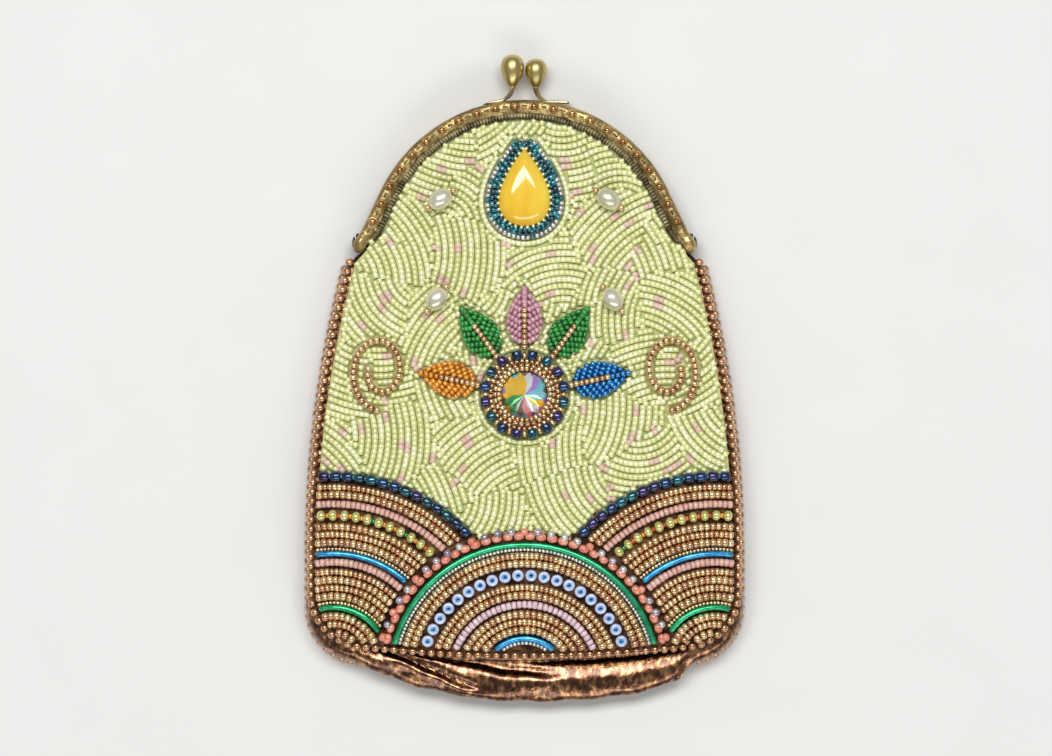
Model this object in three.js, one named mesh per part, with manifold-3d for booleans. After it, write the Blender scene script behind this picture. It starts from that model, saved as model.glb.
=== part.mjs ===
// Beaded coin purse with a kiss-lock frame, lying on its back.
// Millimetres. +Z is up, away from the table. +Y runs to the clasp. The beaded front looks up.
// The origin is on the table, under the middle of the back panel.
import * as THREE from "three";
import { mergeVertices } from "three/addons/utils/BufferGeometryUtils.js";
import Module from "manifold-3d";

const wasm = await Module();
wasm.setup();

// Frame
const FRAME_RADIUS = 40; // outer radius of the arch
const FRAME_CENTRE_Y = 30; // centre of the arch
const FRAME_SPLAY = 25.6; // outward lean of the straight legs, in degrees
const FRAME_LEG = 14.5; // straight leg from the arch to the hinge
const FRAME_DEPTH = 4.5; // one half, from the parting plane to its face
const FRAME_END_DEPTH = 4; // the same at the hinge
const FRAME_TAPER = 9; // height over which a leg thins to that
const FRAME_FACE = 5; // width of the face
const FRAME_LIP = 2; // flat inner part of the face
const FRAME_LIP_DROP = 0.7; // lip below the rounded rib
const FRAME_SHOULDER = 1.2; // outer edge of the rib below its crest
const FRAME_WALL = 0.8; // sheet thickness
const FRAME_LIFT = 0.3; // rear half above the table
const PARTING_GAP = 0.3; // between the closed halves
const FRAME_BEAD_RADIUS = 1.15;
const FRAME_BEAD_PITCH = 4.9;
const FRAME_BEAD_MARGIN = 4; // from the hinge to the first bead

// Hinge
const EAR_RADIUS = 2.4;
const EAR_GAP = 0.3; // between the two ears
const EAR_NECK = 2.2; // plate that joins a front ear to the lip
const RIVET_RADIUS = 0.8;
const RIVET_HEAD_RADIUS = 1.6;
const RIVET_HEAD = 0.7;
const RIVET_CLEARANCE = 0.3;

// Clasp
const BALL_RADIUS = 2.9;
const BALL_LENGTH = 8.6;
const REAR_BALL_RADIUS = 2.7;
const REAR_BALL_LENGTH = 7.6;
const BALL_RISE = 3; // foot of the ball above the arch
const BALL_LEAN = 0.4; // ball centre off the parting plane
const STEM_WIDTH = 2.2;
const STEM_THICK = 0.8;
const STEM_FOOT = 10.5; // where the foot ends, off the middle
const STEM_TURN = 2.6; // where it leaves the arch, off the ball's middle

// Bag
const BODY_HALF = 53.5; // edging string off the middle, at the widest place
const HINGE_HALF = 42.6; // the same level with the hinge
const WIDE_Y = -43; // height of the widest place
const BOTTOM_Y = -67; // edging string at the lower corners
const BOTTOM_BOW = 2.2; // further down at the middle
const CORNER = 14; // radius of the lower corners
const REAR_WIDER = 1; // back panel past the front one, each side
const REAR_LONGER = 4.5; // and at the bottom
const EDGE_HEIGHT = 11; // front panel's edge above the table
const EDGE_RISE = 70; // length over which it climbs from the hinge
const FLAP_DOME = 1.2;
const BODY_DOME = 3;
const DOME_RUN = 26; // distance from the edge to the full dome
const DOME_START = 3; // flat stretch inside the lip
const PANEL = 1.2; // leather with its backing
const BACK_SAG = 1.2; // back panel's sag inside the arch
const FOLD_WIDTH = 6.4; // soft band of the front panel below the hinge
const SEAT = 0.3; // clearance between neighbours
const PANEL_TUCK = 0.4; // panel further inside the frame's wall than that
const GROUND_TUCK = 0.2; // bead ground further inside the lip than that
const GROUND = 1; // bead ground, crest above the panel
const GROOVE = 0.6; // valley between two rows
const GROUND_MARGIN = 1.2; // bare leather round the ground
const EDGE_BEAD = 1.15; // radius
const EDGE_PITCH = 2.4;
const GUSSET = 1; // leather thickness
const GUSSET_SIDE = -0.6; // bulge past the rear edging at the sides
const GUSSET_BOTTOM = 11.6; // bulge past the front edging at the bottom
const GUSSET_REACH = 46; // where that bulge dies out, off the middle
const GUSSET_PLEAT = 0.7; // depth of the gathers at the bottom
const GUSSET_PLEATS = 5;

// Stripes
const SIDE_FAN_X = 47.4;
const SIDE_FAN_Y = -70;
const SIDE_FAN = 47; // outer radius
const MIDDLE_FAN_Y = -75;
const MIDDLE_FAN = 37.5;
const STRIPE_GAP = 0.3;
const STRIPE_SAG = 0.25; // of a facet off the true curve of a stripe
const STRIPE_SEAT = 0.45; // clearance under a stripe
const SEED_ROW = 2.1; // width of a row of small beads
const SEED_RISE = 1.5;
const PINK_ROW = 2.4; // row of slightly larger beads
const BUGLE_ROW = 2.6; // row of long tube beads
const BUGLE_RISE = 1.6;
const LARGE_ROW = 3; // row of the largest beads, along the rim of a fan
const LARGE_RISE = 2;
const OVAL_ROW = 3.2;
const RING_ROW = 3.6;
const OVAL_RISE = 1.8;

// Stones
const CABOCHON_X = 0;
const CABOCHON_Y = 47.5;
const CABOCHON_LENGTH = 20;
const CABOCHON_WIDTH = 15;
const CABOCHON_RISE = 4.4;
const BEZEL_BEAD = 1.1; // radius
const BEZEL_PITCH = 2.9;
const CRYSTAL_Y = -4;
const CRYSTAL_RADIUS = 5.8;
const CRYSTAL_RISE = 3.6;
const IRIS_BEAD = 1.35; // radius
const IRIS_PITCH = 3.9;
const PETAL_LENGTH = 16;
const PETAL_WIDTH = 9.5;
const PETAL_RISE = 1.8;
const PEARL_LENGTH = 6.4;
const PEARL_WIDTH = 5;
const PEARL_X = 22; // pearls beside the petals
const PEARL_Y = 20;
const FLAP_PEARL_X = 21; // pearls beside the drop-shaped stone
const FLAP_PEARL_Y = 45;
const SCROLL_BEAD = 1.1;
const SCROLL_PITCH = 2.9;
const SCROLL_RADIUS = 8;
const SCROLL_X = 36;
const SCROLL_Y = 2;

const RAD = Math.PI / 180;
const splay = FRAME_SPLAY * RAD;
const archEnd = Math.PI / 2 - splay;
const tangentX = FRAME_RADIUS * Math.sin(archEnd);
const tangentY = FRAME_CENTRE_Y + FRAME_RADIUS * Math.cos(archEnd);
const hingeX = tangentX + FRAME_LEG * Math.sin(splay);
const hingeY = tangentY - FRAME_LEG * Math.cos(splay);
const partingZ = FRAME_LIFT + FRAME_DEPTH + PARTING_GAP / 2;
const foldBottom = hingeY - FOLD_WIDTH;
const bagTop = hingeY - FRAME_END_DEPTH - PARTING_GAP / 2 - 2 * SEAT;
const panelHingeHalf = hingeX - 2 * FRAME_WALL - EAR_GAP - RIVET_CLEARANCE - RIVET_HEAD - 2 * SEAT;

const clamp = (u) => Math.min(1, Math.max(0, u));
const mix = (a, b, u) => a + (b - a) * u;
const ease = (u) => clamp(u) * clamp(u) * (3 - 2 * clamp(u));
const crown = (u) => 1 - (1 - clamp(u)) ** 2;

// Closed solid from a list of corner points and triangles, faces turned outwards.
function body(points, triangles) {
  let volume = 0;
  for (const [a, b, c] of triangles) {
    const normal = new THREE.Vector3().crossVectors(points[b], points[c]);
    volume += points[a].dot(normal);
  }
  const index = [];
  for (const [a, b, c] of triangles) {
    index.push(...(volume < 0 ? [a, c, b] : [a, b, c]));
  }
  const geometry = new THREE.BufferGeometry();
  geometry.setFromPoints(points);
  geometry.setIndex(index);
  return geometry;
}

// Triangles that close a ring of points, which need not be convex.
function cap(ring) {
  const normal = new THREE.Vector3();
  const side = new THREE.Vector3();
  for (let i = 0; i < ring.length; i++) {
    side.crossVectors(ring[i], ring[(i + 1) % ring.length]);
    normal.add(side);
  }
  normal.normalize();
  const across = new THREE.Vector3().subVectors(ring[1], ring[0]);
  across.addScaledVector(normal, -across.dot(normal)).normalize();
  const up = new THREE.Vector3().crossVectors(normal, across);
  const flat = ring.map((p) => new THREE.Vector2(p.dot(across), p.dot(up)));
  return THREE.ShapeUtils.triangulateShape(flat, []);
}

// Solid skinned over rings of equally many points, capped at both ends or joined into a loop.
function loft(rings, loop = false) {
  const n = rings[0].length;
  const points = rings.flat();
  const triangles = [];
  const last = loop ? rings.length : rings.length - 1;
  for (let i = 0; i < last; i++) {
    const low = i * n;
    const high = ((i + 1) % rings.length) * n;
    for (let j = 0; j < n; j++) {
      const k = (j + 1) % n;
      triangles.push([low + j, low + k, high + k], [low + j, high + k, high + j]);
    }
  }
  if (!loop) {
    const top = (rings.length - 1) * n;
    for (const [a, b, c] of cap(rings[0])) {
      triangles.push([a, c, b]);
    }
    for (const [a, b, c] of cap(rings[rings.length - 1])) {
      triangles.push([top + a, top + b, top + c]);
    }
  }
  return body(points, triangles);
}

// Sheet over a grid of places: place(t, v) gives x and y, t from -1 to 1 and v from 0 to 1.
// Every second row of the upper side lies lower by groove, the lower side has half as many rows.
function sheet(place, top, thick, columns, rows, groove) {
  const points = [];
  const upper = [];
  const lower = [];
  for (let j = 0; j <= 2 * rows; j++) {
    const line = [];
    for (let i = 0; i <= columns; i++) {
      const [x, y] = place((2 * i) / columns - 1, j / (2 * rows));
      line.push(points.length);
      points.push(new THREE.Vector3(x, y, top(x, y) - (j % 2) * groove));
    }
    upper.push(line);
  }
  for (let j = 0; j <= rows; j++) {
    const line = [];
    for (let i = 0; i <= columns; i++) {
      const [x, y] = place((2 * i) / columns - 1, j / rows);
      line.push(points.length);
      points.push(new THREE.Vector3(x, y, top(x, y) - thick));
    }
    lower.push(line);
  }
  const triangles = [];
  const quad = (a, b, c, d) => triangles.push([a, b, c], [a, c, d]);
  for (let i = 0; i < columns; i++) {
    for (let j = 0; j < 2 * rows; j++) {
      quad(upper[j][i], upper[j][i + 1], upper[j + 1][i + 1], upper[j + 1][i]);
    }
    for (let j = 0; j < rows; j++) {
      quad(lower[j + 1][i], lower[j + 1][i + 1], lower[j][i + 1], lower[j][i]);
    }
    quad(lower[0][i], lower[0][i + 1], upper[0][i + 1], upper[0][i]);
    quad(upper[2 * rows][i], upper[2 * rows][i + 1], lower[rows][i + 1], lower[rows][i]);
  }
  for (let j = 0; j < rows; j++) {
    const [a, b, c] = [upper[2 * j], upper[2 * j + 1], upper[2 * j + 2]];
    const [d, e] = [lower[j], lower[j + 1]];
    triangles.push([d[0], a[0], b[0]], [d[0], b[0], e[0]], [e[0], b[0], c[0]]);
    const i = columns;
    triangles.push([d[i], b[i], a[i]], [d[i], e[i], b[i]], [e[i], c[i], b[i]]);
  }
  return body(points, triangles);
}

// String of beads along a line of points: a wide ring at each bead and a narrow one between two.
function beads(line, radius, pitch, loop, sides) {
  const curve = new THREE.CatmullRomCurve3(line, loop);
  curve.arcLengthDivisions = 600;
  const count = Math.max(3, Math.round(curve.getLength() / pitch));
  const rings = [];
  const steps = loop ? 2 * count : 2 * count + 1;
  for (let i = 0; i < steps; i++) {
    const u = i / (2 * count);
    const middle = curve.getPointAt(u);
    const along = curve.getTangentAt(u);
    const side = new THREE.Vector3(along.y, -along.x, 0).normalize();
    const up = new THREE.Vector3().crossVectors(side, along);
    const r = i % 2 ? radius : radius * 0.5;
    const ring = [];
    for (let k = 0; k < sides; k++) {
      const angle = (2 * Math.PI * k) / sides + Math.PI / 2;
      const p = middle.clone();
      p.addScaledVector(side, r * Math.cos(angle));
      p.addScaledVector(up, r * Math.sin(angle));
      ring.push(p);
    }
    rings.push(ring);
  }
  return loft(rings, loop);
}

// Solids for joining and cutting.
function solid(geometry) {
  const bare = geometry.clone();
  bare.deleteAttribute("normal");
  bare.deleteAttribute("uv");
  const merged = mergeVertices(bare, 1e-4);
  const at = merged.index.array;
  const kept = [];
  for (let i = 0; i < at.length; i += 3) {
    const [a, b, c] = [at[i], at[i + 1], at[i + 2]];
    if (a !== b && b !== c && c !== a) {
      kept.push(a, b, c);
    }
  }
  const mesh = new wasm.Mesh({
    numProp: 3,
    vertProperties: new Float32Array(merged.attributes.position.array),
    triVerts: new Uint32Array(kept),
  });
  return new wasm.Manifold(mesh);
}

function geometryOf(manifold) {
  const mesh = manifold.getMesh();
  const geometry = new THREE.BufferGeometry();
  geometry.setAttribute("position", new THREE.BufferAttribute(mesh.vertProperties, 3));
  geometry.setIndex(new THREE.BufferAttribute(mesh.triVerts, 1));
  return geometry;
}

// Disc with its axis along X, from one x to the other, on the hinge line.
function hingeDisc(radius, from, to, sides = 14) {
  const disc = new THREE.CylinderGeometry(radius, radius, Math.abs(to - from), sides);
  disc.rotateZ(Math.PI / 2);
  disc.translate((from + to) / 2, hingeY, partingZ);
  return solid(disc);
}

// Depth of a frame half, less at the hinge.
function frameDepth(y) {
  return mix(FRAME_END_DEPTH, FRAME_DEPTH, ease((y - hingeY) / FRAME_TAPER));
}

// Underside of the lip above the parting plane.
function lipHeight(y) {
  return PARTING_GAP / 2 + frameDepth(y) - FRAME_LIP_DROP - FRAME_WALL;
}

// Places along the outer line of the frame, right hinge to left hinge, with the way inwards.
function frameStations() {
  const stations = [];
  const across = 1 / Math.cos(splay);
  for (const share of [1, 0.55, 0.25]) {
    const x = tangentX + share * FRAME_LEG * Math.sin(splay);
    const y = tangentY - share * FRAME_LEG * Math.cos(splay);
    const flat = share === 1;
    stations.push([x, y, flat ? -across : -Math.cos(splay), flat ? 0 : -Math.sin(splay)]);
  }
  const arcs = 14;
  for (let i = 0; i <= arcs; i++) {
    const a = mix(archEnd, -archEnd, i / arcs);
    const x = FRAME_RADIUS * Math.sin(a);
    stations.push([x, FRAME_CENTRE_Y + FRAME_RADIUS * Math.cos(a), -Math.sin(a), -Math.cos(a)]);
  }
  for (const [x, y, inX, inY] of stations.slice(0, 3).reverse()) {
    stations.push([-x, y, -inX, inY]);
  }
  return stations;
}

// One half of the frame: side 1 is the front half, side -1 the rear one.
function frameHalf(side) {
  const rib = FRAME_FACE - FRAME_LIP;
  const rings = frameStations().map(([x, y, inX, inY]) => {
    const low = PARTING_GAP / 2;
    const high = low + frameDepth(y);
    const lip = high - FRAME_LIP_DROP;
    const section = [
      [0, low],
      [FRAME_WALL, low],
      [FRAME_WALL, lip - FRAME_WALL],
      [FRAME_FACE, lip - FRAME_WALL],
      [FRAME_FACE, lip],
      [rib, lip],
      [rib / 2, high],
      [0, high - FRAME_SHOULDER],
    ];
    return section.map(([r, h]) => new THREE.Vector3(x + inX * r, y + inY * r, partingZ + side * h));
  });
  let half = solid(loft(rings));
  const ears = [hingeX, hingeX - FRAME_WALL, hingeX - FRAME_WALL - EAR_GAP];
  ears.push(ears[2] - FRAME_WALL);
  for (const hand of [1, -1]) {
    const reach = EAR_RADIUS + EAR_GAP;
    if (side > 0) {
      half = half.subtract(hingeDisc(reach, hand * ears[2], hand * (hingeX + FRAME_FACE)));
      const neck = new THREE.BoxGeometry(FRAME_WALL, EAR_NECK, lipHeight(hingeY));
      const low = partingZ + PARTING_GAP / 2;
      neck.translate(0, hingeY + EAR_NECK / 2, low + lipHeight(hingeY) / 2);
      neck.translate(hand * (ears[2] - FRAME_WALL / 2), 0, 0);
      half = half.add(hingeDisc(EAR_RADIUS, hand * ears[2], hand * ears[3])).add(solid(neck));
    } else {
      half = half.subtract(hingeDisc(reach, hand * ears[1], hand * (ears[3] - EAR_GAP)));
      half = half.add(hingeDisc(EAR_RADIUS, hand * ears[0], hand * ears[1]));
    }
    const hole = RIVET_RADIUS + RIVET_CLEARANCE;
    half = half.subtract(hingeDisc(hole, hand * (ears[3] - 1), hand * (hingeX + 1), 10));
  }
  return half;
}

// Points on the rib of the front half, one for each sewn bead.
function ribPoints() {
  const line = frameStations().map(([x, y, inX, inY]) => {
    const r = (FRAME_FACE - FRAME_LIP) / 2;
    const z = partingZ + PARTING_GAP / 2 + frameDepth(y);
    return new THREE.Vector3(x + inX * r, y + inY * r, z);
  });
  const curve = new THREE.CatmullRomCurve3(line);
  const length = curve.getLength();
  const count = Math.round((length - 2 * FRAME_BEAD_MARGIN) / FRAME_BEAD_PITCH);
  const points = [];
  for (let i = 0; i <= count; i++) {
    points.push(curve.getPointAt(mix(FRAME_BEAD_MARGIN, length - FRAME_BEAD_MARGIN, i / count) / length));
  }
  return points;
}

// Half width of the arch at a height, inside its outer line by inset.
function archHalf(y, inset) {
  const end = FRAME_CENTRE_Y + (FRAME_RADIUS - inset) * Math.cos(archEnd);
  if (y > end) {
    return Math.sqrt(Math.max(0, (FRAME_RADIUS - inset) ** 2 - (y - FRAME_CENTRE_Y) ** 2));
  }
  const out = (FRAME_RADIUS - inset) * Math.sin(archEnd) + (end - y) * Math.tan(splay);
  return Math.min(out, panelHingeHalf);
}

// Grid inside the arch, bowed rows from the hinge line up to the arch itself.
function archPlace(inset, from) {
  const stop = 50 * RAD;
  const radius = FRAME_RADIUS - inset;
  const topY = FRAME_CENTRE_Y + radius * Math.cos(stop);
  return (t, v) => {
    const y = mix(from, topY, v);
    const bow = radius * (1 - Math.cos(stop)) * v ** 1.5;
    return [t * archHalf(y, inset), y + bow * (1 - t * t)];
  };
}

// The same grid with its columns drawn together at both sides, where the lip covers them.
function gathered(place) {
  return (t, v) => place(Math.sin((t * Math.PI) / 2), v);
}

// Share of the full dome at a place inside the arch, none near the lip.
function archDome(x, y) {
  const side = archHalf(y, FRAME_FACE) - Math.abs(x);
  const above = FRAME_CENTRE_Y + FRAME_RADIUS - FRAME_FACE - y;
  return crown((Math.min(side, above) - DOME_START) / (DOME_RUN / 2));
}

// Outline of the bag, inside the edging string by inset, grown by wider and longer.
function outline(inset, wider, longer) {
  const half = BODY_HALF + wider - inset;
  const corner = CORNER - inset;
  const bottom = BOTTOM_Y - longer + inset;
  const turn = bottom + corner;
  const halfAt = (y) => {
    if (y < turn) {
      const down = Math.min(corner, turn - y);
      return half - corner + Math.sqrt(corner * corner - down * down);
    }
    const up = Math.max(0, (y - WIDE_Y) / (hingeY - WIDE_Y));
    return half - (BODY_HALF - HINGE_HALF) * up * up;
  };
  const bowAt = (t) => BOTTOM_BOW * (1 - t * t);
  return { halfAt, bowAt, bottom, turn, half, corner };
}

const frontLine = outline(0, 0, 0);
const rearLine = outline(0, REAR_WIDER, REAR_LONGER);

// Grid of the bag below a height.
function bagPlace(line, from) {
  return (t, v) => {
    const y = mix(from, line.bottom, Math.sin((v * Math.PI) / 2));
    return [t * line.halfAt(y), y - line.bowAt(t) * v ** 3];
  };
}

// Points round an outline, right to left by way of the bottom, with the way outwards.
function rim(line, from, sides, corners, bottoms) {
  const points = [];
  for (let i = 0; i < sides; i++) {
    const y = mix(from, line.turn, i / sides);
    points.push(new THREE.Vector2(line.halfAt(y), y));
  }
  for (let i = 0; i < corners; i++) {
    const a = (i / corners) * (Math.PI / 2);
    const x = line.half - line.corner + line.corner * Math.cos(a);
    points.push(new THREE.Vector2(x, line.turn - line.corner * Math.sin(a)));
  }
  const run = line.half - line.corner;
  for (let i = 0; i <= bottoms; i++) {
    const t = 1 - i / bottoms;
    points.push(new THREE.Vector2(t * run, line.bottom - line.bowAt(t)));
  }
  const left = points.slice(0, -1).reverse();
  for (const p of left) {
    points.push(new THREE.Vector2(-p.x, p.y));
  }
  return points;
}

// Height of the front panel's edge.
const edgeAtHinge = partingZ + lipHeight(hingeY) - SEAT;
function edgeHeight(y) {
  return mix(edgeAtHinge, EDGE_HEIGHT, ease((hingeY - y) / EDGE_RISE));
}

// Outer face of the front panel.
function frontFace(x, y) {
  if (y > hingeY) {
    return partingZ + lipHeight(y) - SEAT + FLAP_DOME * archDome(x, y);
  }
  const inside = Math.min(frontLine.halfAt(y) - Math.abs(x), y - frontLine.bottom + CORNER / 4);
  const swell = mix(FLAP_DOME, BODY_DOME, ease((hingeY - y) / EDGE_RISE));
  return edgeHeight(y) + swell * crown(inside / DOME_RUN);
}

// Outer face of the back panel, flat on the table below the frame.
function backFace(x, y) {
  const rise = ease((y - bagTop) / (hingeY - bagTop));
  const edge = partingZ - lipHeight(Math.max(y, hingeY)) + SEAT;
  return rise * (edge - BACK_SAG * archDome(x, y));
}

// Top of the bead ground, where the stones and petals sit.
const groundFace = (x, y) => frontFace(x, y) + SEAT + GROUND;
const onGround = (x, y) => groundFace(x, y) + SEAT;

// Lower edge of the ground: the upper rim of the three fans.
function fanTop(x) {
  const rimOf = (cx, cy, r) => cy + Math.sqrt(Math.max(0, r * r - (x - cx) ** 2));
  const side = rimOf(x > 0 ? SIDE_FAN_X : -SIDE_FAN_X, SIDE_FAN_Y, SIDE_FAN);
  return Math.max(side, rimOf(0, MIDDLE_FAN_Y, MIDDLE_FAN));
}

function groundPlace(t, v) {
  const inset = EDGE_BEAD + SEAT + GROUND_MARGIN;
  const line = outline(inset, 0, 0);
  const start = foldBottom - SEAT;
  let x = t * line.halfAt(start);
  for (let i = 0; i < 4; i++) {
    const y = mix(start, fanTop(x) + STRIPE_GAP, v);
    x = t * line.halfAt(y);
  }
  return [x, mix(start, fanTop(x) + STRIPE_GAP, v)];
}

// Back panel, one grid from the top of the arch past the hinge to the bottom of the bag.
function backPlace(t, v) {
  const inset = FRAME_WALL + SEAT + PANEL_TUCK;
  const line = outline(EDGE_BEAD + SEAT, REAR_WIDER, REAR_LONGER);
  const eighths = 8 * v;
  if (eighths < 3) {
    return archPlace(inset, hingeY)(t, 1 - eighths / 3);
  }
  if (eighths < 4) {
    const half = mix(panelHingeHalf, line.halfAt(bagTop), eighths - 3);
    return [t * half, mix(hingeY, bagTop, eighths - 3)];
  }
  return bagPlace(line, bagTop)(t, (eighths - 4) / 4);
}

// Gusset: leather from the back panel's rim to the front panel's rim, bulging out between.
function gusset() {
  const front = rim(frontLine, bagTop, 4, 4, 6);
  const back = rim(rearLine, bagTop, 4, 4, 6);
  const half = GUSSET / 2;
  const rings = [];
  for (let i = 0; i < front.length; i++) {
    const f = front[i];
    const ahead = front[Math.min(front.length - 1, i + 1)];
    const behind = front[Math.max(0, i - 1)];
    const along = new THREE.Vector2().subVectors(ahead, behind).normalize();
    const out = new THREE.Vector2(-along.y, along.x);
    const rear = new THREE.Vector2().subVectors(back[i], f).dot(out);
    const edge = edgeHeight(f.y);
    const wave = 1 + Math.cos((GUSSET_PLEATS * 2 * Math.PI * f.x) / BODY_HALF);
    const full = GUSSET_BOTTOM * (1 - (f.x / GUSSET_REACH) ** 2) - (GUSSET_PLEAT / 2) * wave;
    const bulge = Math.max(rear + GUSSET_SIDE, full * ease(-1.4 * out.y));
    const top = edge - PANEL - SEAT - half;
    const under = edge - PANEL / 2 - EDGE_BEAD - SEAT - half;
    const low = PANEL + SEAT + half;
    const over = 2 * EDGE_BEAD + 2 * SEAT + half;
    const tuck = EDGE_BEAD + 3 * SEAT + half;
    const middle = (under + over) / 2;
    const line = [
      [-tuck - half, top],
      [-tuck + half, Math.min(top, under)],
      [mix(-tuck, bulge, 0.85), mix(under, middle, 0.3)],
      [bulge, middle],
      [mix(rear - tuck, bulge, 0.85), mix(over, middle, 0.3)],
      [rear - tuck + half, Math.max(low, over)],
      [rear - tuck - half, low],
    ];
    const outer = [];
    const inner = [];
    line.forEach(([r, z], k) => {
      const [r0, z0] = line[Math.max(0, k - 1)];
      const [r1, z1] = line[Math.min(line.length - 1, k + 1)];
      const run = Math.hypot(r1 - r0, z1 - z0);
      const [nr, nz] = [-(z1 - z0) / run, (r1 - r0) / run];
      const place = (s) =>
        new THREE.Vector3(f.x + out.x * (r + nr * s), f.y + out.y * (r + nr * s), z + nz * s);
      outer.push(place(half));
      inner.unshift(place(-half));
    });
    rings.push([...outer, ...inner]);
  }
  return loft(rings);
}

// String of edging beads round an outline.
function edging(line, height, sides) {
  const points = rim(line, bagTop - EDGE_BEAD / 2, 24, 10, 14);
  const string = points.map((p) => new THREE.Vector3(p.x, p.y, height(p.y)));
  return beads(string, EDGE_BEAD, EDGE_PITCH, false, sides);
}

// One stripe of a fan: rows of beads between two radii, cut off at the outline and at other fans.
function stripe(fan, outer, inner, rows, rise) {
  const line = outline(EDGE_BEAD + SEAT + STRIPE_GAP, 0, 0);
  const inside = (x, y) => {
    const t = clamp(Math.abs(x) / (line.half - line.corner));
    if (Math.abs(x) > line.halfAt(Math.max(y, line.bottom)) || y < line.bottom - line.bowAt(t)) {
      return false;
    }
    if (fan.x === 0) {
      return true;
    }
    const apart = Math.hypot(x, y - MIDDLE_FAN_Y) - MIDDLE_FAN;
    return x * Math.sign(fan.x) > STRIPE_GAP / 2 && apart > STRIPE_GAP;
  };
  const span = (radius) => {
    const at = (a) => inside(fan.x + radius * Math.cos(a), fan.y + radius * Math.sin(a));
    const step = 0.2 * RAD;
    let best = [0, 0];
    let from = null;
    for (let a = -60 * RAD; a <= 240 * RAD; a += step) {
      if (at(a) && from === null) {
        from = a;
      }
      if (!at(a) && from !== null) {
        best = a - step - from > best[1] - best[0] ? [from, a - step] : best;
        from = null;
      }
    }
    return best;
  };
  const section = [[0, 0]];
  for (let i = 0; i < rows; i++) {
    section.push([(i + 0.22) / rows, rise], [(i + 0.78) / rows, rise]);
    if (i < rows - 1) {
      section.push([(i + 1) / rows, rise * 0.55]);
    }
  }
  section.push([1, 0]);
  const low = span(inner);
  const high = span(outer);
  const angle = Math.max(high[1] - high[0], low[1] - low[0]);
  const parts = Math.max(2, Math.ceil(angle / (2 * Math.acos(1 - STRIPE_SAG / outer))));
  const rings = [];
  for (let i = 0; i <= parts; i++) {
    const u = i / parts;
    rings.push(
      section.map(([w, h]) => {
        const radius = mix(inner, outer, w);
        const a = mix(mix(low[0], low[1], u), mix(high[0], high[1], u), w);
        const x = fan.x + radius * Math.cos(a);
        const y = fan.y + radius * Math.sin(a);
        return new THREE.Vector3(x, y, frontFace(x, y) + STRIPE_SEAT + h);
      }),
    );
  }
  return loft(rings);
}

// Point of the drop-shaped stone's outline, tip along +Y, moved out by margin.
function dropPoint(angle, margin) {
  const at = (a) => {
    const x = 0.59 * CABOCHON_WIDTH * Math.sin(a) * Math.sin(a / 2) ** 1.1;
    return new THREE.Vector2(CABOCHON_X + x, CABOCHON_Y + (CABOCHON_LENGTH / 2) * Math.cos(a));
  };
  const along = at(angle + 0.02).sub(at(angle - 0.02)).normalize();
  return at(angle).add(new THREE.Vector2(-along.y, along.x).multiplyScalar(margin));
}

// Domed drop-shaped stone.
function cabochon() {
  const sides = 14;
  const rings = [
    [1, 0],
    [1, 0.3],
    [0.86, 0.72],
    [0.6, 0.93],
    [0.22, 1],
  ].map(([size, share]) => {
    const ring = [];
    for (let i = 0; i < sides; i++) {
      const p = dropPoint((2 * Math.PI * (i + 0.5)) / sides, 0);
      const x = mix(CABOCHON_X, p.x, size);
      const y = mix(CABOCHON_Y, p.y, size);
      ring.push(new THREE.Vector3(x, y, onGround(x, y) + CABOCHON_RISE * share));
    }
    return ring;
  });
  return loft(rings);
}

// Ring of beads round a stone.
function bezel(point, radius, pitch) {
  const line = [];
  for (let i = 0; i < 36; i++) {
    const p = point((2 * Math.PI * (i + 0.5)) / 36);
    line.push(new THREE.Vector3(p.x, p.y, onGround(p.x, p.y) + radius));
  }
  return beads(line, radius, pitch, true, 3);
}

// Faceted round stone.
function crystal() {
  const sides = 12;
  const rings = [
    [1, 0],
    [1, 0.35],
    [0.72, 0.8],
    [0.42, 1],
  ].map(([size, share], k) => {
    const ring = [];
    for (let i = 0; i < sides; i++) {
      const a = (2 * Math.PI * (i + (k % 2) / 2)) / sides;
      const x = CRYSTAL_RADIUS * size * Math.cos(a);
      const y = CRYSTAL_Y + CRYSTAL_RADIUS * size * Math.sin(a);
      ring.push(new THREE.Vector3(x, y, onGround(x, y) + CRYSTAL_RISE * share));
    }
    return ring;
  });
  return loft(rings);
}

// Beaded petal with a furrow along its middle, pointing away from the crystal.
function petal(angle) {
  const start = CRYSTAL_RADIUS + 3 * SEAT + 2 * BEZEL_BEAD + 2 * IRIS_BEAD;
  const rings = [];
  const steps = 5;
  for (let i = 0; i <= steps; i++) {
    const u = mix(0.04, 0.97, i / steps);
    const half = (PETAL_WIDTH / 2) * Math.sin(Math.PI * u ** 0.8);
    const along = start + PETAL_LENGTH * u;
    const ring = [
      [-1, 0],
      [-0.9, 0.6],
      [-0.5, 1],
      [0, 0.7],
      [0.5, 1],
      [0.9, 0.6],
      [1, 0],
    ].map(([w, h]) => {
      const x = along * Math.sin(angle) + w * half * Math.cos(angle);
      const y = CRYSTAL_Y + along * Math.cos(angle) - w * half * Math.sin(angle);
      return new THREE.Vector3(x, y, onGround(x, y) + h * PETAL_RISE * (0.5 + half / PETAL_WIDTH));
    });
    rings.push(ring);
  }
  return loft(rings);
}

// Oval pearl lying on the ground.
function pearl(x, y, angle) {
  const ball = new THREE.SphereGeometry(0.5, 8, 5);
  ball.scale(PEARL_LENGTH, PEARL_WIDTH, PEARL_WIDTH);
  ball.rotateZ(angle);
  ball.translate(x, y, onGround(x, y) + PEARL_WIDTH / 2);
  return geometryOf(solid(ball));
}

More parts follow.
